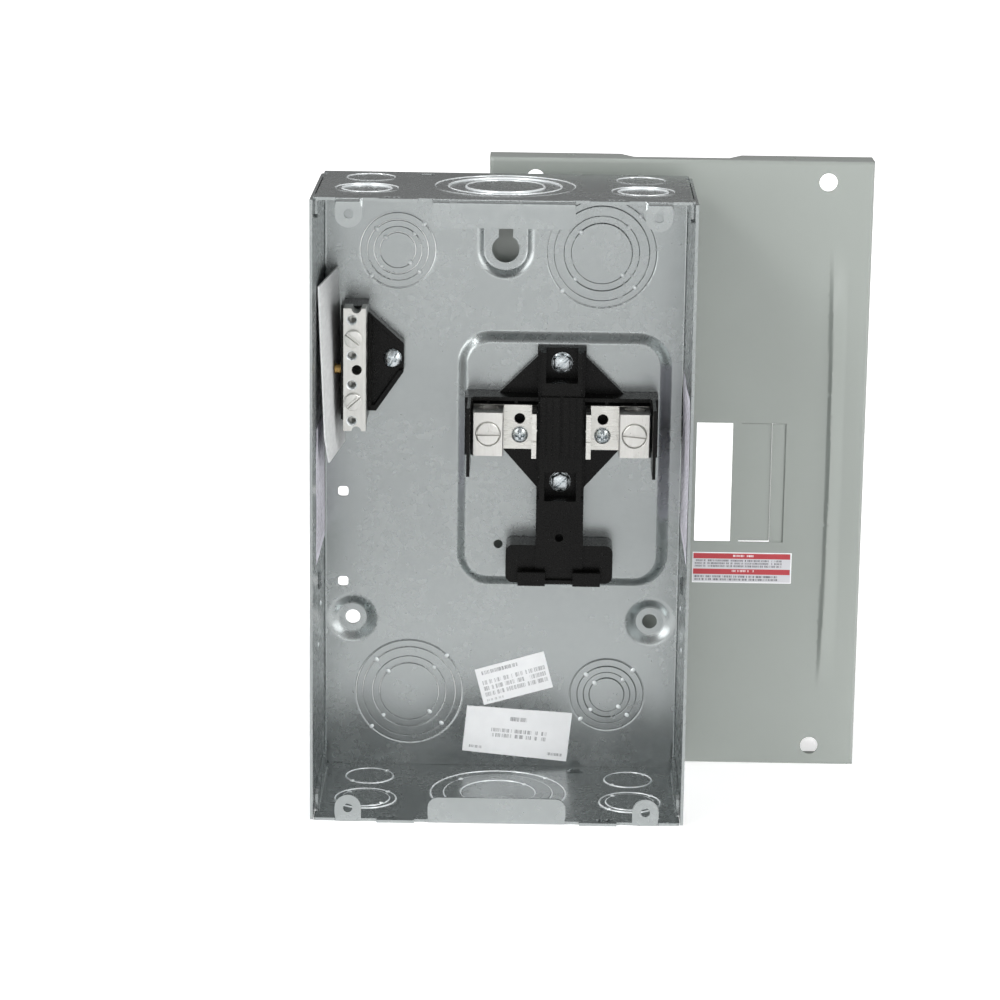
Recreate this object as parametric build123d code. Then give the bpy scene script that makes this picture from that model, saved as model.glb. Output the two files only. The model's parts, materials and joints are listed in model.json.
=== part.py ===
from build123d import *
import os

# Small residential load centre: open steel box with its interior, and its cover standing behind it.
#
# Millimetres. X to the right, Y away from the viewer, Z up. Every piece is drawn with the box's
# front plane at Y = 0, then moved half the box's depth, so that the finished parts have their
# origin at the centre of the underside of the box's bottom wall.

# ---- box ----
BOX_W = 169.0
BOX_H = 285.0
BOX_D = 83.0
SHEET = 1.3
SIDE_END_SETBACK = 1.0  # the side walls stop short of the end walls' outer faces
BEND_R = 2.2
BACK_IN = BOX_D - SHEET
SIDE_IN = BOX_W / 2 - SHEET
SEAM = 0.2

# ---- knockout radii, trade sizes 3/8 to 2 inch ----
KO_38, KO_12, KO_34 = 8.33, 11.11, 14.08
KO_1, KO_114, KO_112, KO_2 = 17.46, 22.02, 25.2, 31.36
KO_GAP = 0.15
KO_STEP = 0.45
TIE_W = 1.6

BACK_KNOCKOUTS = {
    "knockout_back_upper_left": (-49.5, 248.9, (KO_1, KO_34, KO_12, KO_38)),
    "knockout_back_upper_right": (44.2, 248.6, (KO_112, KO_114, KO_1, KO_34)),
    "knockout_back_lower_left": (-43.2, 37.5, (KO_112, KO_114, KO_1, KO_34)),
    "knockout_back_lower_right": (50.4, 37.3, (KO_1, KO_34, KO_12, KO_38)),
}
END_CENTRE_KO = (0.0, BOX_D / 2, (KO_2, KO_112, KO_1))
END_FRONT_KO = ((-61.0, 30.3, (KO_34, KO_12)), (61.0, 30.3, (KO_34, KO_12)))
END_REAR_KO = ((-60.8, 63.0, (KO_12,)), (60.8, 63.0, (KO_12,)))
SIDE_KO = (45.0, 80.5, (KO_12,))

# ---- back wall features ----
PLATFORM = (-21.0, 76.2, 90.3, 212.2)  # x0, x1, z0, z1 of the foot of the bevel
PLATFORM_RISE = 3.0
PLATFORM_BEVEL = 5.4
PLATFORM_R = 12.0
PLATFORM_FACE = BACK_IN - PLATFORM_RISE
BOSS_DEPTH = 2.5
BOSS_XZ = ((-70.0, 73.2), (70.0, 73.2))
BOSS_R, BOSS_FLAT_R, BOSS_HOLE_R = 12.4, 7.0, 3.5
KEY_XZ = (0.0, 249.7)
KEY_R, KEY_SLOT_R, KEY_SLOT_UP = 6.3, 3.3, 13.0
KEY_BOSS_R, KEY_FLAT_R, KEY_BOSS_UP = 13.6, 9.5, 14.0
SMALL_HOLES = ((-74.5, 134.5), (-74.5, 91.0))
SMALL_HOLE_W, SMALL_HOLE_R = 4.8, 1.5
PLATFORM_HOLE = (-1.8, 110.8, 2.1)

# ---- end walls ----
TAB_X, TAB_W, TAB_LEN, TAB_HOLE_Z, TAB_HOLE_R = 67.4, 12.0, 13.0, 6.8, 2.1
FLANGE_W, FLANGE_LEN, FLANGE_R = 62.4, 12.4, 4.6
SIDE_FLANGE = (12.0, 74.0, 11.0)  # y0, y1, height
RELIEFS = ((31.2, 37.4), (54.4, 61.2))
LANCE_XY = (36.1, 73.5)

# ---- interior ----
CX = 26.7
BASE_BACK = PLATFORM_FACE
FLOOR_FACE = 74.7
BUS_FACE = 66.0
BUS_T = 2.2
BUS_Z = (159.7, 180.4)
STAB_OUT, STAB_T, STAB_FRONT = 13.5, 2.2, 46.0  # distances from the interior's centre line
LUG_IN, LUG_OUT, LUG_FRONT = 26.4, 40.4, 48.0
LUG_BORE_R, LUG_BORE_Y = 4.8, 59.4
SET_R, SET_CLEAR, SET_LEN = 5.5, 0.05, 6.2
SET_Z = 170.4
SPINE_FACE = 60.5
SPINE_W, SPINE_LOW_W = 19.6, 21.6
SPINE_Z = (114.0, 206.0)
WALL_FRONT = 38.0
BASE_SCREW_Z = (199.2, 143.1)
FOOT = (1.9, 51.5, 96.8, 114.8)  # x0, x1, z0, z1
FOOT_FACE = 62.7
HOOK_W, HOOK_FRONT, HOOK_T, HOOK_TOP = 12.8, 57.4, 2.2, 103.3

# ---- neutral ----
BAR = (-72.7, -62.5, 51.0, 62.8, 170.2, 226.9)  # x0, x1, y0, y1, z0, z1
BAR_TAP_R = 2.45
BAR_TAPS_Z = (221.6, 205.1, 191.6, 174.9)
BAR_SCREWS_Z = (213.1, 183.9)
BAR_SCREW_X = -68.2
BAR_TAP_X = -68.9
WIRE_HOLE_R, WIRE_HOLE_Y = 2.6, 57.6
NEUTRAL_FOOT = (
    (-62.7, 221.7), (-59.1, 218.5), (-46.3, 207.0), (-46.3, 193.4), (-58.9, 175.0), (-62.7, 175.0),
)
NEUTRAL_SCREW = (-51.5, 199.3)
SHEET_T = 0.8  # fibre barrier

# ---- cover ----
COVER_W = 177.2
COVER_H = 290.5
COVER_X = 80.6
COVER_Y = 94.7
COVER_T = 1.0
COVER_FLANGE = 17.6
COVER_HOLE = (67.4, 135.7, 4.2)  # x and z from the cover's centre, radius
CREASE_RISE = 1.2
WINDOW = (1.7, 51.7, 109.7, 167.0)  # x0, x1 from the cover's centre line, z0, z1
OPENING = (9.9, 26.8)
FLAP = (30.6, 45.0)
PAPER = 0.12


# ---------------------------------------------------------------- helpers
def block(x0, x1, y0, y1, z0, z1):
    """Box given by its limits."""
    return Pos((x0 + x1) / 2, (y0 + y1) / 2, (z0 + z1) / 2) * Box(abs(x1 - x0), abs(y1 - y0), abs(z1 - z0))


def rod_x(y, z, r, x0, x1):
    return Pos((x0 + x1) / 2, y, z) * Rot(0, 90, 0) * Cylinder(r, abs(x1 - x0))


def rod_y(x, z, r, y0, y1):
    return Pos(x, (y0 + y1) / 2, z) * Rot(90, 0, 0) * Cylinder(r, abs(y1 - y0))


def rod_z(x, y, r, z0, z1):
    return Pos(x, y, (z0 + z1) / 2) * Cylinder(r, abs(z1 - z0))


def plane_xz(y):
    """Sketch plane with X to the right, Z up, normal towards the viewer."""
    return Plane(origin=(0, y, 0), x_dir=(1, 0, 0), z_dir=(0, -1, 0))


def prism_xz(points, y_front, y_back):
    """Polygon in X and Z, extruded along Y."""
    face = make_face(Polyline(*[(x, z) for x, z in points], close=True))
    return extrude(plane_xz(y_back) * face, amount=y_back - y_front)


def rounded_xz(x0, x1, z0, z1, r, y_front, y_back):
    """Rounded rectangle in X and Z, extruded along Y."""
    face = Pos((x0 + x1) / 2, (z0 + z1) / 2) * RectangleRounded(x1 - x0, z1 - z0, r)
    return extrude(plane_xz(y_back) * face, amount=y_back - y_front)


def frustum_xz(outline, y_wide, y_narrow, narrow):
    """Loft between two outlines lying in planes of constant Y."""
    return loft([plane_xz(y_wide) * outline, plane_xz(y_narrow) * narrow], ruled=True)


def ring_solids(centre, radii, place, thick):
    """Concentric knockout pieces, every other one sheared a little inwards, each held by two ties."""
    pieces = []
    for i, outer in enumerate(radii):
        step = KO_STEP if i % 2 else 0.0
        body = Cylinder(outer - KO_GAP, thick)
        for angle in (45, 225):
            if i % 2:
                angle += 90
            tie = Rot(0, 0, angle) * Pos(outer - 0.8, 0, 0) * Box(1.6, TIE_W, thick - 0.4)
            body += tie & Cylinder(outer, thick)
        if i + 1 < len(radii):
            body -= Cylinder(radii[i + 1], thick * 2)
        pieces.append(place(centre) * Pos(0, 0, step) * body)
    return pieces


def on_back(centre):
    x, z = centre
    return Pos(x, BACK_IN + SHEET / 2, z) * Rot(90, 0, 0)


def on_floor(centre):
    x, y = centre
    return Pos(x, y, SHEET / 2)


def on_side(sign):
    def place(centre):
        y, z = centre
        return Pos(sign * (BOX_W - SHEET) / 2, y, z) * Rot(0, 90, 0)

    return place


def half_turn(shape):
    """Bottom end wall's pieces turned about the depth axis to the top."""
    return Pos(0, 0, BOX_H) * Rot(0, 180, 0) * shape


def slotted(head, width, depth, turn_deg, x, z, y_face):
    """Cut a straight driver slot into a head that faces the viewer."""
    slot = Box(40, depth * 2, width)
    return head - Pos(x, y_face, z) * Rot(0, turn_deg, 0) * slot


# ---------------------------------------------------------------- box wrap
def stadium(r, up):
    """Upright slot outline whose lower arc is centred on the origin."""
    return Pos(0, up / 2) * SlotOverall(up + 2 * r, 2 * r, rotation=90)


def dish(outline_wide, outline_flat, x, z, depth):
    """Material and cavity of a dish pressed backwards out of the back wall."""
    move = Pos(x, 0, z)
    outside = move * frustum_xz(outline_wide, BACK_IN, BACK_IN + depth + SHEET, outline_flat)
    inside = move * frustum_xz(outline_wide, BACK_IN, BACK_IN + depth, outline_flat)
    return outside, inside


def bent_wrap():
    """Side walls and back wall folded from one sheet."""
    z0, z1 = SIDE_END_SETBACK, BOX_H - SIDE_END_SETBACK
    outer = block(-BOX_W / 2, BOX_W / 2, 0, BOX_D, z0, z1)
    corners = outer.edges().filter_by(Axis.Z).filter_by(lambda e: e.center().Y > BOX_D - 1)
    outer = fillet(corners, BEND_R)
    inner = block(-SIDE_IN, SIDE_IN, -5, BACK_IN, z0 - 5, z1 + 5)
    corners = inner.edges().filter_by(Axis.Z).filter_by(lambda e: e.center().Y > BACK_IN - 1)
    inner = fillet(corners, BEND_R - SHEET)
    return outer - inner


def raise_platform(wrap):
    """Bevelled platform that carries the interior, pressed towards the viewer."""
    x0, x1, z0, z1 = PLATFORM
    w, h, b = x1 - x0, z1 - z0, PLATFORM_BEVEL
    wide = RectangleRounded(w, h, PLATFORM_R)
    narrow = RectangleRounded(w - 2 * b, h - 2 * b, PLATFORM_R - b)
    move = Pos((x0 + x1) / 2, 0, (z0 + z1) / 2)
    raised = move * frustum_xz(wide, BACK_IN, PLATFORM_FACE, narrow)
    wide_in = RectangleRounded(w - 1.0, h - 1.0, PLATFORM_R - 0.5)
    narrow_in = RectangleRounded(w - 2 * b - 1.0, h - 2 * b - 1.0, PLATFORM_R - b - 0.5)
    hollow = move * frustum_xz(wide_in, BOX_D, PLATFORM_FACE + SHEET, narrow_in)
    return wrap + raised - hollow


def enclosure():
    """Box wrap with its pressings, holes and knockout openings."""
    wrap = raise_platform(bent_wrap())
    for x, z in BOSS_XZ:
        out, cavity = dish(Circle(BOSS_R), Circle(BOSS_FLAT_R), x, z, BOSS_DEPTH)
        wrap = wrap + out - cavity - rod_y(x, z, BOSS_HOLE_R, 75, 95)
    x, z = KEY_XZ
    wide, flat = stadium(KEY_BOSS_R, KEY_BOSS_UP), stadium(KEY_FLAT_R, KEY_BOSS_UP)
    out, cavity = dish(wide, flat, x, z, BOSS_DEPTH)
    wrap = wrap + out - cavity - rod_y(x, z, KEY_R, 75, 95)
    wrap -= block(x - KEY_SLOT_R, x + KEY_SLOT_R, 75, 95, z, z + KEY_SLOT_UP)
    wrap -= rod_y(x, z + KEY_SLOT_UP, KEY_SLOT_R, 75, 95)
    for x, z in SMALL_HOLES:
        half = SMALL_HOLE_W / 2
        wrap -= rounded_xz(x - half, x + half, z - half, z + half, SMALL_HOLE_R, 75, 95)
    x, z, r = PLATFORM_HOLE
    wrap -= rod_y(x, z, r, 70, 95)
    for z in BASE_SCREW_Z:
        wrap -= rod_y(CX, z, 2.35, 70, 95)
    wrap -= rod_y(*NEUTRAL_SCREW, 2.05, 70, 95)
    for x, z, radii in BACK_KNOCKOUTS.values():
        wrap -= rod_y(x, z, radii[0], 75, 95)
    y, z, radii = SIDE_KO
    for sign in (-1, 1):
        wrap -= rod_x(y, z, radii[0], sign * 80, sign * 90)
        wrap = side_marks(wrap, sign)
    return wrap


def side_marks(wrap, sign):
    """Lance, locating dimples and weld nuggets on one side wall."""
    face = sign * SIDE_IN
    for z in (206.6, 214.3):
        wrap += Pos(face, 30, z) * Rot(0, 90, 0) * Cylinder(1.6, 1.0)
    wrap -= block(face - 3, face + 3, 40, 41, 97.5, 106.5)
    wrap += block(face - sign * 1.2, face + sign * 0.3, 41, 46, 97.5, 106.5)
    return wrap


# ---------------------------------------------------------------- end walls
def end_wall():
    """Bottom end wall; the top one is the same pressing turned half a turn."""
    half = SIDE_IN - SEAM
    wall = block(-half, half, 0, BACK_IN - SEAM, 0, SHEET)
    flange = rounded_xz(-FLANGE_W / 2, FLANGE_W / 2, -12, FLANGE_LEN, FLANGE_R, 0, SHEET)
    wall += flange & block(-90, 90, -1, 5, 0, 40)
    for sign in (-1, 1):
        x = sign * TAB_X
        tab = block(x - TAB_W / 2, x + TAB_W / 2, 0, SHEET, 0, TAB_LEN - TAB_W / 2)
        tab += rod_y(x, TAB_LEN - TAB_W / 2, TAB_W / 2, 0, SHEET) & block(-90, 90, -1, 5, 0, 40)
        wall += tab - rod_y(x, TAB_HOLE_Z, TAB_HOLE_R, -5, 5)
        y0, y1, high = SIDE_FLANGE
        wall += block(sign * half, sign * (half - SHEET), y0, y1, 0, high)
        for a, b in RELIEFS:
            wall -= block(sign * a, sign * b, -1, 1.1, -1, 3)
        wall -= block(sign * 73.4, sign * 90, -1, 0.9, -1, 3)
        for x in (46.8, 51.0):
            wall += Pos(sign * x, 4.2, SHEET) * Sphere(1.7) & block(-90, 90, 0, 10, 0.8, SHEET + 0.6)
            wall -= Pos(sign * x, 4.2, -0.6) * Sphere(1.4)
    wall = wall - front_round()
    wall = with_lance(wall)
    cx, cy, radii = END_CENTRE_KO
    wall -= rod_z(cx, cy, radii[0], -5, 5)
    for x, y, radii in END_FRONT_KO + END_REAR_KO:
        wall -= rod_z(x, y, radii[0], -5, 5)
    return wall


def front_round():
    """Cutter that rounds the outer bend along the front edge."""
    r = 1.2
    cutter = block(-90, 90, -0.5, r, -0.5, r) - rod_x(r, r, r, -91, 91)
    keep = FLANGE_W / 2
    spans = [block(-keep, keep, -1, 3, -1, 3)]
    for sign in (-1, 1):
        x = sign * TAB_X
        spans.append(block(x - TAB_W / 2, x + TAB_W / 2, -1, 3, -1, 3))
    zone = spans[0] + spans[1] + spans[2]
    return cutter & zone


def with_lance(wall):
    """Half-round lance near the back edge, pressed inwards."""
    x, y = LANCE_XY
    bump = Pos(x, y, SHEET) * Cylinder(3.7, 2.0) & block(x - 5, x + 5, y, y + 5, 0.5, 2.2)
    slot = block(x - 3.7, x + 3.7, y - 1.0, y, -2, 5)
    return wall + bump - slot


def end_knockouts():
    """Pieces left in one end wall's knockouts: centre group, front pair and rear pair."""
    centre = ring_solids(END_CENTRE_KO[:2], END_CENTRE_KO[2], on_floor, SHEET)
    small = []
    for x, y, radii in END_FRONT_KO + END_REAR_KO:
        small += ring_solids((x, y), radii, on_floor, SHEET)
    return centre, small


# ---------------------------------------------------------------- interior
def side_x(sign, a, b):
    """X limits of a piece between two distances from the interior's centre line."""
    lo, hi = sorted((CX + sign * a, CX + sign * b))
    return lo, hi


def base_floor():
    """Flat floor of the moulded base with its upper and lower wings."""
    pts = [
        (-11.2, 206.0), (11.2, 206.0), (11.2, 201.6), (28.7, 184.4), (44.5, 184.4), (44.5, 157.4),
        (26.6, 157.4), (11.0, 139.8), (11.0, 114.0), (-11.0, 114.0), (-11.0, 139.8), (-26.6, 157.4),
        (-44.5, 157.4), (-44.5, 184.4), (-28.7, 184.4), (-11.2, 201.6),
    ]
    return prism_xz([(CX + x, z) for x, z in pts], FLOOR_FACE, BASE_BACK)


def base_spine():
    """Raised spine with a screw pocket at each end and a grooved middle block."""
    w, lw = SPINE_W / 2, SPINE_LOW_W / 2
    spine = block(CX - lw, CX + lw, 66.2, BASE_BACK, SPINE_Z[0], 206.0)
    spine += block(CX - w, CX + w, SPINE_FACE, 67, 136.2, 206.0)
    spine += block(CX - lw, CX + lw, SPINE_FACE + 1.2, 67, SPINE_Z[0], 136.6)
    spine += block(CX - w, CX + w, 58.6, 61, 157.6, 185.6)
    spine -= block(CX - 7.3, CX + 7.3, 50, 73.0, 191.8, 210)
    spine -= block(CX - 7.3, CX + 7.3, 50, 73.0, 136.0, 150.0)
    spine -= block(CX - 0.6, CX + 0.6, 50, 60.4, 150.4, 191.4)
    spine -= block(CX - w - 3, CX + w + 3, 50, 61.6, 135.2, 136.6)
    for sign in (-1, 1):
        for a in (3.6, 6.6):
            x0, x1 = side_x(sign, a, a + 0.7)
            spine -= block(x0, x1, 50, 59.2, 156, 187)
        x0, x1 = side_x(sign, w - 0.8, w + 2)
        spine -= block(x0, x1, 50, 62.0, 186.4, 207)
    return spine


def base_side(sign):
    """Bus pedestal, end barrier and cross barrier on one side of the spine."""
    x0, x1 = side_x(sign, 10.5, 40.6)
    part = block(x0, x1, BUS_FACE + BUS_T, 76, BUS_Z[0] + 0.4, BUS_Z[1] - 0.2)
    x0, x1 = side_x(sign, 10.5, 44.3)
    part += block(x0, x1, 63.8, BASE_BACK, 182.6, 184.4)
    x0, x1 = side_x(sign, 40.7, 44.3)
    part += block(x0, x1, 62.0, BASE_BACK, 157.4, 184.4)
    x0, x1 = side_x(sign, 41.4, 42.9)
    part += block(x0, x1, WALL_FRONT, 63, 152.6, 184.4)
    for a in (20.0, 33.0):
        x0, x1 = side_x(sign, a, a + 1.6)
        part += block(x0, x1, 67.5, 76, 180.5, 183)
    return part


def base_foot():
    """Foot across the bottom of the spine, with the two breaker hooks."""
    x0, x1, z0, z1 = FOOT
    foot = rounded_xz(x0, x1, z0, z1, 3.4, FOOT_FACE, BASE_BACK)
    foot += block(CX - 11, CX + 11, FOOT_FACE - 1.0, 72, z0 + 6, SPINE_Z[0] + 4)
    foot += block(CX - 19, CX + 19, 60.6, 64, z0, z0 + 1.8)
    for sign in (-1, 1):
        c = CX + sign * 12.7
        x0, x1 = c - HOOK_W / 2, c + HOOK_W / 2
        hook = block(x0, x1, HOOK_FRONT, HOOK_FRONT + HOOK_T, 96.4, HOOK_TOP)
        edges = hook.edges().filter_by(Axis.X).filter_by(lambda e: e.center().Y < HOOK_FRONT + 0.1)
        foot += fillet(edges, 0.9)
        foot += block(x0, x1, HOOK_FRONT + 1, 64, 96.4, 98.6)
    return foot


def interior_base():
    """Black moulded base."""
    base = base_floor() + base_spine() + base_foot()
    for sign in (-1, 1):
        base += base_side(sign)
    for z in BASE_SCREW_Z:
        base -= rod_y(CX, z, 2.3, 60, 90)
    base -= rod_y(CX - 0.1, 118.6, 1.9, 50, 70)
    for sign in (-1, 1):
        base -= rod_y(CX + sign * 19.0, 166.5, 1.65, 60, 77)
        base -= rod_y(CX + sign * 19.1, 174.0, 2.4, 60, 76)
    return base


def bus(sign):
    """Tab that carries the lug, folded into the stab blade that points at the viewer."""
    x0, x1 = side_x(sign, STAB_OUT - STAB_T, LUG_OUT)
    plate = block(x0, x1, BUS_FACE, BUS_FACE + BUS_T, *BUS_Z)
    x0, x1 = side_x(sign, STAB_OUT - STAB_T, STAB_OUT)
    blade = block(x0, x1, STAB_FRONT, BUS_FACE + BUS_T, *BUS_Z)
    blade -= block(x0 - 1, x1 + 1, STAB_FRONT - 1, STAB_FRONT + 1.4, 167.4, 171.4)
    dimple_x = CX + sign * (STAB_OUT - STAB_T)
    blade += Pos(dimple_x, STAB_FRONT + 1.2, 172.7) * Rot(90, 0, 0) * Cylinder(0.35, 2.4)
    piece = plate + blade
    piece -= rod_y(CX + sign * 19.1, 174.0, 2.5, 60, 75)
    piece -= rod_y(CX + sign * 19.0, 166.5, 1.9, 60, 75)
    return piece


def lug(sign):
    """Wire lug with a vertical wire bore crossed by the set screw's hole."""
    x0, x1 = side_x(sign, LUG_IN, LUG_OUT)
    c = (x0 + x1) / 2
    body = block(x0, x1, LUG_FRONT, BUS_FACE, 160.2, 180.3)
    body = chamfer(body.edges().filter_by(Axis.Z).filter_by(lambda e: e.center().Y < LUG_FRONT + 0.1), 0.4)
    body -= rod_z(c, LUG_BORE_Y, LUG_BORE_R, 150, 190)
    body -= rod_y(c, SET_Z, SET_R + SET_CLEAR, 40, 64.4)
    body -= Pos(c, LUG_FRONT, SET_Z) * Rot(90, 0, 0) * Cone(SET_R + 0.05, SET_R + 0.85, 0.8)
    return body


def set_screw(sign):
    """Slotted set screw of one lug."""
    c = CX + sign * (LUG_IN + LUG_OUT) / 2
    y0 = LUG_FRONT + 0.1
    body = rod_y(c, SET_Z, SET_R, y0, y0 + SET_LEN)
    body = chamfer(body.edges().filter_by(GeomType.CIRCLE), 0.5)
    return slotted(body, 1.5, 1.6, 0 if sign < 0 else 5, c, SET_Z, y0)


def cross_screw(x, z, y_seat):
    """Pan head screw with a cross recess."""
    head = Pos(x, y_seat + 1.6, z) * Sphere(4.6)
    head = head & rod_y(x, z, 3.75, y_seat - 2.7, y_seat)
    recess = Pos(x, y_seat - 2.6, z) * (Box(4.4, 2.6, 0.9) + Box(0.9, 2.6, 4.4))
    return head + rod_y(x, z, 1.6, y_seat, 76.5) - recess


def washer_screw(x, z, y_seat, tip):
    """Slotted hex washer head screw."""
    head = rod_y(x, z, 4.85, y_seat - 1.1, y_seat)
    hexagon = plane_xz(y_seat - 1.1) * Pos(x, z) * RegularPolygon(3.95, 6, major_radius=False)
    crown = extrude(hexagon, amount=2.9)
    crown = crown & Pos(x, y_seat + 1.4, z) * Sphere(6.6)
    head = slotted(head + crown, 1.2, 1.3, -45, x, z, y_seat - 4.0)
    return head + rod_y(x, z, 2.25, y_seat, tip)


def base_screws():
    return [washer_screw(CX, z, 73.0, 84.5) for z in BASE_SCREW_Z]


def bus_screws():
    return [cross_screw(CX + sign * 19.0, 166.5, BUS_FACE) for sign in (-1, 1)]


# ---------------------------------------------------------------- neutral
def neutral_bar():
    """Sawn extrusion with tapped screw holes across and wire holes from side to side."""
    x0, x1, y0, y1, z0, z1 = BAR
    bar = block(x0, x1, y0, y1, z0, z1)
    for z in BAR_TAPS_Z:
        bar -= rod_y(BAR_TAP_X, z, BAR_TAP_R, y0 - 1, WIRE_HOLE_Y)
    for z in BAR_SCREWS_Z:
        bar -= rod_y(BAR_SCREW_X, z, BAR_TAP_R, y0 - 1, y1 + 1)
    for z in BAR_TAPS_Z + BAR_SCREWS_Z:
        bar -= rod_x(WIRE_HOLE_Y, z, WIRE_HOLE_R, x0 + 3.4, x1 + 1)
    bar -= rod_y(-66.6, 198.6, 2.3, y0 - 1, y1 + 1)
    for z in (z0, z1):
        bar -= rod_y(-66.8, z, 2.2, y0 - 1, y1 + 1)
    return bar - rod_x(57.0, 198.0, 2.4, x0 - 1, x0 + 3.2)


def wire_screw(z, turn):
    """Slotted fillister screw of the neutral bar."""
    seat = BAR[2] - 0.3
    head = rod_y(BAR_SCREW_X, z, 4.05, seat - 1.9, seat)
    head = chamfer(head.edges().filter_by(GeomType.CIRCLE).sort_by(Axis.Y)[0], 0.5)
    head += rod_y(BAR_SCREW_X, z, BAR_TAP_R - 0.05, seat, seat + 10.6)
    return slotted(head, 1.2, 1.2, turn, BAR_SCREW_X, z, seat - 1.9)


def insulator():
    """Black block behind and beside the bar, with a pocketed foot for its screw."""
    back = BACK_IN - SHEET_T
    part = block(-73.9, -62.5, BAR[3], back, 172.5, 226.0)
    part += block(-73.9, -72.75, 52.0, BAR[3] + 1, 175.4, 228.2)
    part += prism_xz(NEUTRAL_FOOT, 73.5, back)
    pocket = [(-61.0, 219.0), (-59.6, 216.4), (-48.4, 206.2), (-45.0, 206.2), (-45.0, 194.2),
              (-48.4, 194.2), (-59.8, 177.6), (-61.0, 177.6)]
    part -= prism_xz(pocket, 70, 77.0)
    x, z = NEUTRAL_SCREW
    part -= rod_y(x, z, 2.1, 70, 90)
    return part - rod_x(57.0, 198.0, 2.5, -76, -70)


def neutral_mount_screw():
    """Slotted pan head screw through the insulator's foot."""
    x, z = NEUTRAL_SCREW
    head = Pos(x, 77.0 + 4.2, z) * Sphere(6.8) & rod_y(x, z, 4.3, 74.2, 77.0)
    head = slotted(head, 1.2, 1.2, 62, x, z, 74.4)
    return head + rod_y(x, z, 2.0, 77.0, 84.5)


def bonding_screw():
    """Brass screw in the left side of the bar."""
    x0 = BAR[0]
    body = rod_x(57.0, 198.0, 2.35, x0 - 4.2, x0 + 2.8)
    for i in range(4):
        ring = rod_x(57.0, 198.0, 2.6, x0 - 3.8 + i * 0.75, x0 - 3.5 + i * 0.75)
        body -= ring - rod_x(57.0, 198.0, 2.05, x0 - 6, x0)
    return body - block(x0 - 5, x0 - 3.6, 56.6, 57.4, 194, 202)


def fibre_sheet():
    """Thin barrier standing on the back wall and leaning to the left wall, with its foot."""
    top_rear, low_rear = (-77.6, 241.0), (-74.4, 158.7)
    back = BACK_IN
    lean = 0.094
    pts = [(0.2, 241.0), (0.2, 158.7), (45.4, 158.7), (53.6, 172.0), (54.6, 241.0)]

    def at(u, z, dx):
        x = top_rear[0] + (241.0 - z) / (241.0 - 158.7) * (low_rear[0] - top_rear[0])
        return (x - lean * u + dx, back - u, z)

    left = Wire.make_polygon([Vector(*at(u, z, 0)) for u, z in pts])
    right = Wire.make_polygon([Vector(*at(u, z, SHEET_T)) for u, z in pts])
    leaf = Solid.make_loft([left, right], ruled=True)
    foot = prism_xz([(-76.9, 214.0), (-48.5, 205.0), (-48.5, 195.0), (-75.4, 182.0)], back - SHEET_T, back)
    sheet = Part() + leaf + foot
    return sheet - rod_y(*NEUTRAL_SCREW, 2.05, 70, 90)


# ---------------------------------------------------------------- labels
def paper_xz(points, y_back):
    return prism_xz(points, y_back - PAPER, y_back)


def label_back_upper():
    return paper_xz([(-12.2, 48.6), (20.3, 58.2), (25.0, 40.6), (-7.6, 31.2)], BACK_IN)


def label_back_lower():
    return paper_xz([(-15.6, 30.9), (34.3, 27.9), (31.8, 3.8), (-17.8, 8.5)], BACK_IN)


def label_side(sign, z0, z1, y0):
    x = sign * SIDE_IN
    return block(x, x - sign * PAPER, y0, 79.0, z0, z1)


# ---------------------------------------------------------------- cover
def cover_shell():
    """Face with four turned-back flanges and open corners."""
    x0, x1 = COVER_X - COVER_W / 2, COVER_X + COVER_W / 2
    y0, y1 = COVER_Y, COVER_Y + COVER_FLANGE
    shell = block(x0, x1, y0, y1, 0, COVER_H)
    front = shell.faces().sort_by(Axis.Y)[0]
    shell = fillet(front.edges(), 1.6)
    t = COVER_T
    hollow = block(x0 + t, x1 - t, y0 + t, y1 + 5, t, COVER_H - t)
    front = hollow.faces().sort_by(Axis.Y)[0]
    shell -= fillet(front.edges(), 0.6)
    for x in (x0, x1):
        for z in (0, COVER_H):
            shell -= block(x - 2.4, x + 2.4, y0 + 2.0, y1 + 1, z - 2.4, z + 2.4)
    return shell


def scoop(z_mid):
    """Shallow notch in the middle of an end flange."""
    y1 = COVER_Y + COVER_FLANGE
    pts = [(-28, y1 + 1), (-22, y1 - 9.6), (22, y1 - 9.6), (28, y1 + 1)]
    face = make_face(Polyline(*[(COVER_X + x, y) for x, y in pts], close=True))
    return extrude(Plane.XY.offset(z_mid - 4) * face, amount=8)


def crease(sign):
    """Long shallow rib that fades out at both ends."""
    x_ridge = COVER_X + sign * 71.6
    x_in, x_out = COVER_X + sign * 70.6, COVER_X + sign * 77.0
    y = COVER_Y
    z = (34.0, 70.0, 220.0, 254.0)
    foot = [(x_in, y + 0.2, z[0]), (x_out, y + 0.2, z[0]), (x_out, y + 0.2, z[3]), (x_in, y + 0.2, z[3])]
    low = (x_ridge, y - CREASE_RISE, z[1])
    high = (x_ridge, y - CREASE_RISE, z[2])
    faces = [
        (foot[0], foot[1], foot[2], foot[3]),
        (foot[0], low, foot[1]),
        (foot[1], low, high, foot[2]),
        (foot[2], high, foot[3]),
        (foot[3], high, low, foot[0]),
    ]
    shells = [Face(Wire.make_polygon([Vector(*p) for p in f])) for f in faces]
    return Solid(Shell(shells))


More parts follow.
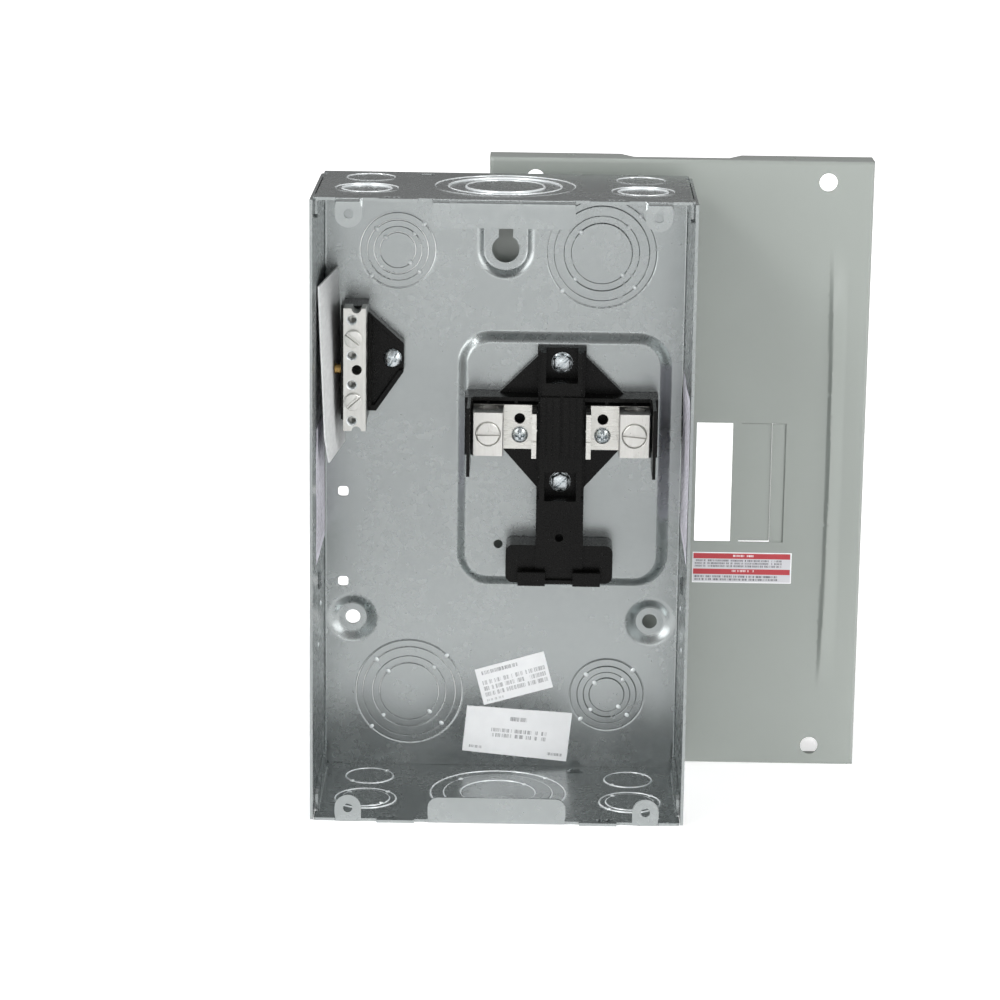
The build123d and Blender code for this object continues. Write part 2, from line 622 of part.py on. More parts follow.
def cover():
    """Painted cover with creases, screw holes and the breaker window."""
    part = cover_shell()
    for sign in (-1, 1):
        part += crease(sign)
        for dz in (-1, 1):
            dx, z, r = COVER_HOLE
            part -= rod_y(COVER_X + sign * dx, COVER_H / 2 + dz * z, r, 90, 100)
        for z in (0, COVER_H):
            part -= rod_z(COVER_X + sign * 51, COVER_Y + 9.5, 2.0, z - 4, z + 4)
    part = part - scoop(0) - scoop(COVER_H)
    x0, x1, z0, z1 = WINDOW
    part -= block(COVER_X + x0, COVER_X + OPENING[1], 90, 100, z0, z1)
    part -= block(COVER_X + FLAP[0], COVER_X + x1, 90, 100, z0, z1)
    return part


def twistout_strip(x0, x1):
    """Narrow strip still held in the window by a tie at each end."""
    z0, z1 = WINDOW[2:]
    a, b = COVER_X + x0, COVER_X + x1
    strip = block(a, b, COVER_Y + 0.3, COVER_Y + 0.3 + COVER_T, z0 + 0.3, z1 - 0.3)
    mid = (a + b) / 2
    return strip + block(mid - 1, mid + 1, COVER_Y + 0.4, COVER_Y + 0.3 + COVER_T, z0, z1)


def twistout_flap():
    """Middle plate, held along its left edge and sprung back at the right."""
    z0, z1 = WINDOW[2:]
    a, b = COVER_X + FLAP[0], COVER_X + FLAP[1] - 0.7
    y0 = COVER_Y
    face = make_face(
        Curve() + [
            ThreePointArc((a, y0), ((a + b) / 2, y0 + 0.55), (b, y0 + 2.4)),
            Line((b, y0 + 2.4), (b - 0.15, y0 + 3.4)),
            ThreePointArc((b - 0.15, y0 + 3.4), ((a + b) / 2, y0 + 1.55), (a, y0 + 1.0)),
            Line((a, y0 + 1.0), (a, y0)),
        ]
    )
    return extrude(Plane.XY.offset(z0 + 0.35) * face, amount=z1 - z0 - 0.7)


def cover_label():
    return block(COVER_X + 9.4, COVER_X + 56.2, COVER_Y - PAPER, COVER_Y, 89.6, 104.5)


# ---------------------------------------------------------------- assembly
def build():
    """Every node's name with its solid or group of solids."""
    nodes = {
        "enclosure_wrap": enclosure(),
        "end_wall_bottom": end_wall(),
        "end_wall_top": half_turn(end_wall()),
        "interior_base": interior_base(),
        "neutral_bar": neutral_bar(),
        "neutral_insulator": insulator(),
        "neutral_screw_upper": wire_screw(BAR_SCREWS_Z[0], 38),
        "neutral_screw_lower": wire_screw(BAR_SCREWS_Z[1], -42),
        "neutral_mount_screw": neutral_mount_screw(),
        "bonding_screw": bonding_screw(),
        "fibre_sheet": fibre_sheet(),
        "base_screws": base_screws(),
        "bus_screws": bus_screws(),
        "label_back_upper": label_back_upper(),
        "label_back_lower": label_back_lower(),
        "label_side_left": label_side(-1, 114.0, 176.0, 24.0),
        "label_side_right": label_side(1, 121.0, 195.0, 8.0),
        "cover": cover(),
        "cover_label": cover_label(),
        "twistout_flap": twistout_flap(),
        "twistout_strip_left": twistout_strip(1.9, 9.9),
        "twistout_strip_right": twistout_strip(45.2, 51.5),
    }
    for side, sign in (("left", -1), ("right", 1)):
        nodes[f"bus_{side}"] = bus(sign)
        nodes[f"lug_{side}"] = lug(sign)
        nodes[f"lug_screw_{side}"] = set_screw(sign)
        nodes[f"knockout_side_{side}"] = ring_solids(SIDE_KO[:2], SIDE_KO[2], on_side(sign), SHEET)
    for name, (x, z, radii) in BACK_KNOCKOUTS.items():
        nodes[name] = ring_solids((x, z), radii, on_back, SHEET)
    centre, small = end_knockouts()
    nodes["knockout_bottom_centre"] = centre
    nodes["knockouts_bottom_small"] = small
    nodes["knockout_top_centre"] = [half_turn(s) for s in centre]
    nodes["knockouts_top_small"] = [half_turn(s) for s in small]
    return nodes


def save(name, shape):
    """One STEP file per node, moved to the finished frame; groups keep their solids separate."""
    to_frame = Pos(0, -BOX_D / 2, 0)
    if isinstance(shape, list):
        shape = Compound(children=[to_frame * s for piece in shape for s in piece.solids()])
    else:
        shape = to_frame * shape
    shape.label = name
    export_step(shape, f"parts/{name}.step")


os.makedirs("parts", exist_ok=True)
for node_name, node_shape in build().items():
    save(node_name, node_shape)
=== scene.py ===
import json
from math import cos, pi, radians, sin

import bmesh
import bpy
import numpy as np
from mathutils import Matrix, Vector, kdtree
from mathutils.geometry import delaunay_2d_cdt


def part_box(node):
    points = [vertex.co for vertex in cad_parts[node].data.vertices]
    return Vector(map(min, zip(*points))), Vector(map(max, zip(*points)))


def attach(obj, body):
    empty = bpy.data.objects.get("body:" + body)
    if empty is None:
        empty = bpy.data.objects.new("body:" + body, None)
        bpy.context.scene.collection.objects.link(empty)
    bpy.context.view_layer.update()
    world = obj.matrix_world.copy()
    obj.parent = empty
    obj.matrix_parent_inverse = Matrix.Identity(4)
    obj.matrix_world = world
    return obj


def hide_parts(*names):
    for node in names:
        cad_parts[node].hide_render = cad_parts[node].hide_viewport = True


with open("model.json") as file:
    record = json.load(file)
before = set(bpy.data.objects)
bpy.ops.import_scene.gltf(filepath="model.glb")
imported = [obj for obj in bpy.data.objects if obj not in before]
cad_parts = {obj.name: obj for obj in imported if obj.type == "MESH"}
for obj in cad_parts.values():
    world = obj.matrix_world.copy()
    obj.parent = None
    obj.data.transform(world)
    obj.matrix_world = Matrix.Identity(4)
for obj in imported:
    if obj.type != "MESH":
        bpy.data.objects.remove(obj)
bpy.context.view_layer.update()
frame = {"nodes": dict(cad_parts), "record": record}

# Everything below is drawn in millimetres with Y counted from the box's front plane, as the frame's
# own boxes are read by mm_box(), and turned into metres in the row frame by to_frame().
MM = 0.001
FRONT_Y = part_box("end_wall_bottom")[0].y


def mm_box(node):
    """Limits of a CAD node: (x0, x1, y0, y1, z0, z1) in millimetres, Y from the box's front plane."""
    low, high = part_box(node)
    return (low.x / MM, high.x / MM, (low.y - FRONT_Y) / MM, (high.y - FRONT_Y) / MM, low.z / MM, high.z / MM)


def to_frame(points):
    """Millimetre points as metres in the row frame."""
    return np.asarray(points, float) * MM + np.array((0.0, FRONT_Y, 0.0))


# Rectangles are (x0, x1, z0, z1) and round holes (x, z, radius).

# ---- box sheet: places as in the frame, pressed details a little softer than the CAD's ----
SHEET = 1.3
WRAP = mm_box("enclosure_wrap")
SIDE_IN = WRAP[1] - SHEET
BACK_IN = 81.7
BEND_IN = 0.9
PLATFORM = (-22.2, 77.8, 90.0, 212.3)
PLATFORM_RISE, PLATFORM_BEVEL, PLATFORM_R = 2.2, 6.0, 16.0
BOSS_XZ = ((-70.0, 73.2), (70.0, 73.2))
PRESSED, BOSS_R, BOSS_FLAT_R, BOSS_HOLE_R = 1.8, 12.4, 7.0, 3.5
KEY_XZ, KEY_R, KEY_SLOT_R, KEY_SLOT_UP = (0.0, 249.7), 6.3, 3.3, 13.0
KEY_BOSS_R, KEY_FLAT_R, KEY_BOSS_UP = 14.0, 9.6, 14.0
SMALL_HOLES, SMALL_HOLE_W, SMALL_HOLE_R = ((-74.5, 134.5), (-74.5, 91.0)), 4.8, 1.5
PLATFORM_HOLE = (-1.8, 110.8, 2.1)
SIDE_KO_YZ, SIDE_KO_R = (45.0, 80.5), 11.11
DIMPLE_Y, DIMPLES_Z, DIMPLE_RISE = 30.0, (206.6, 214.3), 0.5
LANCE_SLIT_Y, LANCE_END_Y, LANCE_Z, LANCE_RISE = (40.0, 41.0), 46.0, (97.5, 106.5), 1.2
# Radii of the knockouts for fittings of each nominal size in inches.
TRADE = {"3/8": 8.33, "1/2": 11.11, "3/4": 14.08, "1": 17.46, "1-1/4": 22.02, "1-1/2": 25.2, "2": 31.36}
WIDE_RINGS = [TRADE[k] for k in ("1-1/2", "1-1/4", "1", "3/4")]
SMALL_RINGS = [TRADE[k] for k in ("1", "3/4", "1/2", "3/8")]
BACK_RINGS = {
    "knockout_back_upper_left": SMALL_RINGS,
    "knockout_back_upper_right": WIDE_RINGS,
    "knockout_back_lower_left": WIDE_RINGS,
    "knockout_back_lower_right": SMALL_RINGS,
}
KO_GAP, KO_STEP = 0.15, 0.45
CRISP_EDGE, ROUND_EDGE = 0.22, 0.45
BEND_STEPS = (0.0, 0.25, 0.5, 0.75, 1.0)

# ---- cover: places as in the frame, with a higher crease ----
COVER = mm_box("cover")
COVER_X = (COVER[0] + COVER[1]) / 2
COVER_W, COVER_H = COVER[1] - COVER[0], COVER[5]
COVER_Y, COVER_T, COVER_FLANGE = 94.7, 1.0, 17.6
# The cover's four holes lie about its middle.
COVER_HOLE = (67.4, 135.7, 4.2)
CREASE_RISE, CREASE_X, CREASE_Z, CREASE_FADE = 2.0, (70.0, 78.2), (34.0, 254.0), (36.0, 34.0)
CREASE_BOW, CREASE_MID_Z, CREASE_HALF = 1.6, 145.0, 110.0
SCOOP_X, SCOOP_DEEP, CORNER_GAP = (22.0, 28.0), 9.6, 0.2
FLANGE_HOLE_X, FLANGE_HOLE_Y, FLANGE_HOLE_R = 51.0, 9.5, 2.0
WINDOW, OPENING_X1, FLAP_X0 = (1.7, 51.7, 109.7, 167.0), 26.8, 30.6


# ---------------------------------------------------------------- outlines and seed points
def circle(x, y, r, count=64):
    a = np.arange(count) * 2 * pi / count
    return np.stack([x + r * np.cos(a), y + r * np.sin(a)], 1)


def arc(x, y, r, start_deg, end_deg, count=8):
    a = np.radians(np.linspace(start_deg, end_deg, count + 1))
    return np.stack([x + r * np.cos(a), y + r * np.sin(a)], 1)


def rectangle(x0, x1, y0, y1, r=0.0, count=6):
    """Rectangle with rounded corners, counter-clockwise."""
    if r <= 0:
        return np.array([(x0, y0), (x1, y0), (x1, y1), (x0, y1)], float)
    corners = [(x1 - r, y0 + r, -90), (x1 - r, y1 - r, 0), (x0 + r, y1 - r, 90), (x0 + r, y0 + r, 180)]
    return np.concatenate([arc(x, y, r, a, a + 90, count) for x, y, a in corners])


def keyhole(x, y, r, slot_r, up):
    """Round hole with a round-topped slot above it."""
    join = np.degrees(np.arcsin((r * r - slot_r * slot_r) ** 0.5 / r))
    lower = arc(x, y, r, 180 - join, 360 + join, 40)
    return np.concatenate([lower, arc(x, y + up, slot_r, 0, 180, 16)])


def densify(loop, step):
    """Loop with extra points, so that no edge is longer than step."""
    out = []
    for a, b in zip(loop, np.roll(loop, -1, axis=0)):
        n = max(1, int(np.ceil(np.linalg.norm(b - a) / step)))
        out += [a + (b - a) * i / n for i in range(n)]
    return np.array(out)


def grid(x0, x1, y0, y1, step):
    """Staggered grid of points."""
    points = []
    for j, y in enumerate(np.arange(y0 + step / 2, y1, step * 0.87)):
        shift = step / 2 if j % 2 else 0.0
        points += [(x, y) for x in np.arange(x0 + step / 2 + shift, x1, step)]
    return np.array(points)


def halo(x, y, r, steps=(0.35, 0.75, 1.2, 1.8), count=64):
    """Rings of points just outside a round hole."""
    return np.concatenate([circle(x, y, r + s, count) for s in steps])


def beyond(points, x, y, r):
    """The points that lie farther than r from a centre."""
    return points[np.hypot(points[:, 0] - x, points[:, 1] - y) > r]


def inside(points, loop):
    """Which points lie inside a closed loop."""
    x, y = points[:, 0], points[:, 1]
    result = np.zeros(len(points), bool)
    for (x0, y0), (x1, y1) in zip(loop, np.roll(loop, -1, axis=0)):
        if y0 == y1:
            continue
        crosses = (y0 > y) != (y1 > y)
        result ^= crosses & (x < x0 + (y - y0) * (x1 - x0) / (y1 - y0))
    return result


def triangulate(outline, holes, seeds, clear=0.3):
    """Triangles between an outline and its holes, through the seed points. Returns points and triangles."""
    loops = [outline, *holes]
    fixed = np.concatenate(loops)
    keep = inside(seeds, outline)
    for hole in holes:
        keep &= ~inside(seeds, hole)
    tree = kdtree.KDTree(len(fixed))
    for i, (x, y) in enumerate(fixed):
        tree.insert((x, y, 0), i)
    tree.balance()
    far = np.array([tree.find((x, y, 0))[2] > clear for x, y in seeds])
    points = np.concatenate([fixed, seeds[keep & far]])
    edges, start = [], 0
    for loop in loops:
        n = len(loop)
        edges += [(start + i, start + (i + 1) % n) for i in range(n)]
        start += n
    verts, _, tris, *_ = delaunay_2d_cdt([Vector(p) for p in points], edges, [], 0, 1e-6)
    verts = np.array([tuple(v) for v in verts])
    tris = np.array([t for t in tris if len(t) == 3])
    centres = verts[tris].mean(1)
    good = inside(centres, outline)
    for hole in holes:
        good &= ~inside(centres, hole)
    tris = tris[good]
    a, b, c = verts[tris[:, 0]], verts[tris[:, 1]], verts[tris[:, 2]]
    area = (b[:, 0] - a[:, 0]) * (c[:, 1] - a[:, 1]) - (b[:, 1] - a[:, 1]) * (c[:, 0] - a[:, 0])
    tris[area < 0] = tris[area < 0][:, ::-1]
    return verts, tris


# ---------------------------------------------------------------- meshes
SMOOTH_DEG = 35.0


def linked(name, data):
    """New object in the scene."""
    obj = bpy.data.objects.new(name, data)
    bpy.context.scene.collection.objects.link(obj)
    return obj


def ring_faces(rings, count, closed):
    """Quads between successive rings of count points each; closed joins the last ring to the first."""
    faces = []
    for i in range(rings if closed else rings - 1):
        j = (i + 1) % rings
        for k in range(count):
            m = (k + 1) % count
            faces.append((i * count + k, j * count + k, j * count + m, i * count + m))
    return faces


def mesh_piece(name, points_mm, faces, skin_normals=None, uv=None):
    """Mesh object from millimetre points, smooth except at sharp edges. A sheet's skins take the normals
    of their true shape instead, one for each of the first points."""
    mesh = bpy.data.meshes.new(name)
    mesh.from_pydata([tuple(p) for p in to_frame(points_mm)], [], [tuple(int(i) for i in f) for f in faces])
    if uv is not None:
        layer = mesh.uv_layers.new(name="UVMap")
        index = np.zeros(len(mesh.loops), int)
        mesh.loops.foreach_get("vertex_index", index)
        layer.data.foreach_set("uv", np.asarray(uv, np.float32)[index].ravel())
    mesh.validate()
    bm = bmesh.new()
    bm.from_mesh(mesh)
    bmesh.ops.recalc_face_normals(bm, faces=bm.faces)
    bm.to_mesh(mesh)
    bm.free()
    mesh.shade_smooth()
    if skin_normals is None:
        mesh.set_sharp_from_angle(angle=radians(SMOOTH_DEG))
    else:
        set_true_normals(mesh, skin_normals)
        mesh.polygons.foreach_set("material_index", [int(len(f.vertices) > 3) for f in mesh.polygons])
    return linked(name, mesh)


def set_true_normals(mesh, skin_normals):
    """Triangles take the shape's own normals where they agree with the face; the sheet's rim stays flat."""
    loops = []
    for face in mesh.polygons:
        flat = np.array(face.normal)
        for k in face.vertices:
            normal = skin_normals[k]
            agree = float(normal @ flat)
            use_own = len(face.vertices) > 3 or abs(agree) < 0.7
            loops.append(tuple(flat if use_own else normal * np.sign(agree)))
    mesh.normals_split_custom_set(loops)


def true_normals(flat, depth, shape, step=0.02):
    """Normals of a formed skin from its slopes along the flat pattern's two directions."""
    along = []
    for shift in (np.array((step, 0.0)), np.array((0.0, step))):
        along.append(shape(flat + shift, depth) - shape(flat - shift, depth))
    normal = np.cross(*along)
    return normal / np.maximum(np.linalg.norm(normal, axis=1, keepdims=True), 1e-12)


def sheet_solid(outline, holes, seeds, thickness, shape):
    """Closed sheet: shape(points, depth) places the skin at depth 0 and the skin at depth thickness."""
    flat, tris = triangulate(outline, holes, seeds)
    n = len(flat)
    points = np.concatenate([shape(flat, 0.0), shape(flat, thickness)])
    faces = [tuple(t) for t in tris] + [tuple(t[::-1] + n) for t in tris]
    edges = dict.fromkeys((int(t[i]), int(t[(i + 1) % 3])) for t in tris for i in range(3))
    faces += [(b, a, a + n, b + n) for a, b in edges if (b, a) not in edges]
    normals = [true_normals(flat, depth, shape) for depth in (0.0, thickness)]
    return points, faces, np.concatenate(normals)


def fold(points, depth, flats, r, folded=None):
    """Folds a flat pattern. flats = (u0, u1, v0, v1) is what stays flat; the rest turns up round an inner
    radius r, or only where folded(u, v) says so. depth is counted away from the fold's inner side. Returns
    a, b and the height c."""
    u, v = points[:, 0], points[:, 1]
    u0, u1, v0, v1 = flats
    over_u = np.where(u > u1, u - u1, np.where(u < u0, u0 - u, 0.0))
    over_v = np.where(v > v1, v - v1, np.where(v < v0, v0 - v, 0.0))
    if folded is not None:
        active = folded(u, v)
        over_u, over_v = np.where(active, over_u, 0.0), np.where(active, over_v, 0.0)
        flat_u = np.where(active, np.clip(u, u0, u1), u)
        flat_v = np.where(active, np.clip(v, v0, v1), v)
    else:
        flat_u, flat_v = np.clip(u, u0, u1), np.clip(v, v0, v1)
    quarter = r * pi / 2
    turn_u, turn_v = np.clip(over_u / r, 0, pi / 2), np.clip(over_v / r, 0, pi / 2)
    out = r + depth
    a = flat_u + np.sign(u) * out * np.sin(turn_u)
    b = flat_v + np.sign(v - (v0 + v1) / 2) * out * np.sin(turn_v)
    c = r - out * np.cos(turn_u) * np.cos(turn_v)
    return a, b, c + np.maximum(over_u - quarter, 0) + np.maximum(over_v - quarter, 0)


def fold_rows(limit, r, low, high, step):
    """Seed points along a fold that starts at limit, on both sides of the pattern."""
    rows = [limit + r * pi / 2 * t for t in BEND_STEPS] + [limit - 1.5, limit + r * pi / 2 + 1.5]
    along = np.arange(low + 0.5, high, step)
    return np.array([(sign * row, t) for row in rows for t in along for sign in (-1, 1)])


def ramp(t):
    """Pressed slope from 0 to 1 with soft ends."""
    t = np.clip(t, 0, 1)
    return 0.35 * t + 0.65 * t * t * (3 - 2 * t)


def soft(t):
    """Pressed slope from 0 to 1 with round ends."""
    t = np.clip(t, 0, 1)
    return t * t * (3 - 2 * t)


def dished(t):
    """Pressed slope from 0 to 1: soft where it leaves the sheet, crisp where it meets the flat."""
    t = np.clip(t, 0, 1)
    return t * t * (1.5 - 0.5 * t)


def coined(away, r, height=0.12, width=0.3):
    """Thin raised line at distance r."""
    return height * np.exp(-(((away - r) / width) ** 2))


def dimple(u, v, x, y, rise, spread):
    """Small round punch mark."""
    return rise * np.exp(-((u - x) ** 2 + (v - y) ** 2) / spread)


def rect_depth(u, v, x0, x1, y0, y1, r):
    """Distance inwards from a rounded rectangle's outline."""
    qx = np.abs(u - (x0 + x1) / 2) - ((x1 - x0) / 2 - r)
    qy = np.abs(v - (y0 + y1) / 2) - ((y1 - y0) / 2 - r)
    return r - np.hypot(np.maximum(qx, 0), np.maximum(qy, 0)) - np.minimum(np.maximum(qx, qy), 0)


def roll_over(u, v, x, y, r, drop=0.16, width=0.4):
    """Drop of the sheared edge round a hole."""
    return drop * (1 - ramp((np.hypot(u - x, v - y) - r) / width))


# ---------------------------------------------------------------- box wrap
WRAP_FLAT = SIDE_IN - BEND_IN
WRAP_TURN = BEND_IN * pi / 2


def side_u(y):
    """Flat-pattern coordinate of depth y on a side wall."""
    return WRAP_FLAT + WRAP_TURN + (BACK_IN - BEND_IN) - y


def ring_centre(node):
    x0, x1, _, _, z0, z1 = mm_box(node)
    return (x0 + x1) / 2, (z0 + z1) / 2


def pressed(away, outer, flat):
    """Dish pressed back, with a thin raised line round its flat floor."""
    return coined(away, flat) - PRESSED * dished((outer - away) / (outer - flat))


def wrap_relief(u, v):
    """How far the back wall and side walls stand in towards the inside."""
    up = rect_depth(u, v, *PLATFORM, PLATFORM_R) / PLATFORM_BEVEL
    h = PLATFORM_RISE * soft(up)
    for x, z in BOSS_XZ:
        h += pressed(np.hypot(u - x, v - z), BOSS_R, BOSS_FLAT_R)
        h -= roll_over(u, v, x, z, BOSS_HOLE_R) * 0.5
    x, z = KEY_XZ
    away = np.hypot(u - x, v - np.clip(v, z, z + KEY_BOSS_UP))
    h += pressed(away, KEY_BOSS_R, KEY_FLAT_R)
    for node, radii in BACK_RINGS.items():
        h -= roll_over(u, v, *ring_centre(node), radii[0])
    y, z = SIDE_KO_YZ
    h -= roll_over(np.abs(u), v, side_u(y), z, SIDE_KO_R)
    for z in DIMPLES_Z:
        h += dimple(np.abs(u), v, side_u(DIMPLE_Y), z, DIMPLE_RISE, 1.6)
    lance = rect_depth(np.abs(u), v, side_u(LANCE_END_Y), side_u(LANCE_SLIT_Y[1]), *LANCE_Z, 1.0)
    h += LANCE_RISE * ramp(lance / 1.2)
    waves = np.sin(u / 19.0 + 0.7) * np.sin(v / 23.0 + 0.4) + 0.6 * np.sin(u / 31.0 - v / 27.0)
    return h + 0.06 * waves


def wrap_holes():
    holes = [circle(*ring_centre(node), radii[0], 96) for node, radii in BACK_RINGS.items()]
    holes += [circle(x, z, BOSS_HOLE_R, 40) for x, z in BOSS_XZ]
    holes.append(keyhole(*KEY_XZ, KEY_R, KEY_SLOT_R, KEY_SLOT_UP))
    half = SMALL_HOLE_W / 2
    holes += [rectangle(x - half, x + half, z - half, z + half, SMALL_HOLE_R) for x, z in SMALL_HOLES]
    holes.append(circle(*PLATFORM_HOLE, 32))
    y, z = SIDE_KO_YZ
    holes += [circle(sign * side_u(y), z, SIDE_KO_R, 72) for sign in (-1, 1)]
    slit = [side_u(y) for y in LANCE_SLIT_Y]
    return holes + [rectangle(*sorted((sign * slit[0], sign * slit[1])), *LANCE_Z) for sign in (-1, 1)]


def wrap_seeds():
    far = side_u(0)
    x0, x1, z0, z1 = PLATFORM
    plain = grid(-far, far, WRAP[4], WRAP[5], 5.0)
    plain = beyond(plain, *KEY_XZ, KEY_BOSS_R + 1)
    for x, z in BOSS_XZ:
        plain = beyond(plain, x, z, BOSS_R + 1)
    plain = plain[np.abs(np.abs(plain[:, 0]) - WRAP_FLAT - WRAP_TURN / 2) > WRAP_TURN / 2 + 2.5]
    depth = rect_depth(plain[:, 0], plain[:, 1], *PLATFORM, PLATFORM_R)
    plain = plain[np.abs(depth - PLATFORM_BEVEL / 2) > PLATFORM_BEVEL / 2 + 3]
    seeds = [plain, fold_rows(WRAP_FLAT, BEND_IN, WRAP[4], WRAP[5], 2.0)]
    for d in np.arange(-1.5, PLATFORM_BEVEL + 1.6, 0.5):
        loop = rectangle(x0 + d, x1 - d, z0 + d, z1 - d, PLATFORM_R - d, 22)
        seeds.append(densify(loop, 1.2))
    for x, z in BOSS_XZ:
        seeds += [circle(x, z, r, 72) for r in np.arange(BOSS_HOLE_R + 0.4, BOSS_R + 1.0, 0.36)]
    x, z = KEY_XZ
    for r in np.arange(KEY_SLOT_R + 0.5, KEY_BOSS_R + 1.0, 0.36):
        seeds.append(arc(x, z, r, 180, 360, 72))
        seeds.append(arc(x, z + KEY_BOSS_UP, r, 0, 180, 72))
        for sign in (-1, 1):
            seeds.append(np.array([(x + sign * r, t) for t in np.arange(z + 0.5, z + KEY_BOSS_UP, 0.7)]))
    for node, radii in BACK_RINGS.items():
        seeds.append(halo(*ring_centre(node), radii[0], count=96))
    y, z = SIDE_KO_YZ
    for sign in (-1, 1):
        seeds.append(halo(sign * side_u(y), z, SIDE_KO_R))
        u = sign * side_u(DIMPLE_Y)
        seeds.append(grid(u - 5, u + 5, 202, 219, 0.9))
        u0, u1 = sorted((sign * side_u(LANCE_END_Y + 1), sign * side_u(LANCE_SLIT_Y[0])))
        seeds.append(grid(u0, u1, LANCE_Z[0] - 1, LANCE_Z[1] + 1, 0.8))
    return np.concatenate(seeds)


def wrap_shape(points, depth):
    relief = wrap_relief(points[:, 0], points[:, 1])
    flats = (-WRAP_FLAT, WRAP_FLAT, -1e3, 1e3)
    a, b, c = fold(points, depth - relief, flats, BEND_IN)
    return np.stack([a, BACK_IN - c, b], 1)


def box_wrap():
    far = side_u(0)
    outline = densify(rectangle(-far, far, WRAP[4], WRAP[5]), 4.0)
    return sheet_solid(outline, wrap_holes(), wrap_seeds(), SHEET, wrap_shape)


# ---------------------------------------------------------------- knockouts
def ring_mesh(outer, inner, lift, edge, count=96):
    """Sheared disc or ring about the local Z axis, with the edges of its faces rounded."""
    o, e, hold = outer - KO_GAP, edge, edge + 0.05
    top, low = lift, lift - SHEET
    profile = [(o - hold, top), (o - e, top), (o - e * 0.3, top - e * 0.3), (o, top - e), (o, low + e)]
    profile += [(o - e, low), (o - hold, low)]
    if inner > 0:
        profile += [(inner + hold, low), (inner + e, low), (inner, low + e), (inner, top - e)]
        profile += [(inner + e * 0.3, top - e * 0.3), (inner + e, top), (inner + hold, top)]
    angles = np.arange(count) * 2 * pi / count
    points = [(r * cos(a), r * sin(a), h) for r, h in profile for a in angles]
    rows = len(profile)
    faces = ring_faces(rows, count, inner > 0)
    if inner <= 0:
        faces.append(tuple(range(count)))
        faces.append(tuple(range((rows - 1) * count, rows * count))[::-1])
    return points, faces


TIE_LONG, TIE_WIDE, TIE_HIGH = 1.3, 1.0, 0.6
LIP_WIDE, LIP_PROUD = 0.5, 0.3


def tie_mesh(radius, angle_deg, lift, around=14, rows=4):
    """Small swollen nub left where a knockout is tied across its shear gap."""
    turn = radians(angle_deg)
    points = []
    for j in range(rows):
        tilt = pi / 2 * j / rows
        for i in range(around):
            a = 2 * pi * i / around
            r = radius - 0.2 + TIE_LONG * cos(tilt) * cos(a)
            w = TIE_WIDE * cos(tilt) * sin(a)
            high = lift - 0.15 + TIE_HIGH * sin(tilt)
            points.append((r * cos(turn) - w * sin(turn), r * sin(turn) + w * cos(turn), high))
    r = radius - 0.2
    points.append((r * cos(turn), r * sin(turn), lift - 0.15 + TIE_HIGH))
    faces = [tuple(range(around))] + ring_faces(rows, around, False)
    last = (rows - 1) * around
    faces += [(last + i, last + (i + 1) % around, rows * around) for i in range(around)]
    return points, faces


def merge(parts):
    """Several (points, faces) as one."""
    points, faces = [], []
    for p, f in parts:
        n = len(points)
        points += [tuple(q) for q in p]
        faces += [tuple(i + n for i in face) for face in f]
    return points, faces


def knockout_set(radii, place, edge):
    """Nested knockout pieces; place turns local points, Z towards the inside, into box points."""
    parts = []
    for i, outer in enumerate(radii):
        inner = radii[i + 1] if i + 1 < len(radii) else 0.0
        parts.append(ring_mesh(outer, inner, KO_STEP if i % 2 else 0.0, edge))
    points, faces = merge(parts)
    return place(np.array(points)), faces


def tie_set(radii, place):
    """Nubs across the shear gaps of one nest of knockouts."""
    parts = []
    for i, outer in enumerate(radii):
        for angle in (45, 225):
            parts.append(tie_mesh(outer, angle + (90 if i % 2 else 0), KO_STEP if i % 2 else 0.0))
    points, faces = merge(parts)
    return place(np.array(points)), faces


def on_back(x, z):
    return lambda p: np.stack([x + p[:, 0], BACK_IN - p[:, 2], z + p[:, 1]], 1)


def on_floor(x, y):
    return lambda p: np.stack([x + p[:, 0], y + p[:, 1], SHEET + p[:, 2]], 1)


def on_roof(x, y):
    return lambda p: np.stack([x + p[:, 0], y + p[:, 1], ROOF_Z - SHEET - p[:, 2]], 1)


def on_side(sign):
    y, z = SIDE_KO_YZ
    return lambda p: np.stack([sign * (SIDE_IN - p[:, 2]), y + p[:, 0], z + p[:, 1]], 1)


ROOF_Z = mm_box("end_wall_top")[5]
BOX_MID_Y = 41.5
CENTRE_RINGS = [TRADE[k] for k in ("2", "1-1/2", "1")]
END_SMALL = [
    (-61.0, 30.3, [TRADE["3/4"], TRADE["1/2"]]),
    (61.0, 30.3, [TRADE["3/4"], TRADE["1/2"]]),
    (-60.8, 63.0, [TRADE["1/2"]]),
    (60.8, 63.0, [TRADE["1/2"]]),
]

# ---------------------------------------------------------------- end walls
END_BEND = 0.6
END_HALF = mm_box("end_wall_bottom")[1]
END_DEEP = mm_box("end_wall_bottom")[3]
TAB_X, TAB_W, TAB_LEN, TAB_HOLE_Z, TAB_HOLE_R = 67.4, 12.0, 13.0, 6.8, 2.1
FLANGE_W, FLANGE_LEN, FLANGE_R = 62.4, 12.4, 4.6
# Front end, rear end and height of a side flange.
SIDE_FLANGE = (12.0, 74.0, 11.0)
END_V0 = END_BEND + SHEET
END_U1 = END_HALF - END_BEND - SHEET
NOTCH_X = (37.4, 54.4)
END_DIMPLES_X, END_DIMPLE_Y, END_DIMPLE_RISE = (46.8, 51.0), 4.2, 0.75
END_LANCE_XY, END_LANCE_HALF, END_LANCE_DEEP = (36.1, 73.5), 3.7, 3.4
END_ROLL = (0.3, 1.1)


def end_v(z):
    """Flat-pattern coordinate of height z on a front tab."""
    return END_V0 - END_BEND * pi / 2 - (z - SHEET - END_BEND)


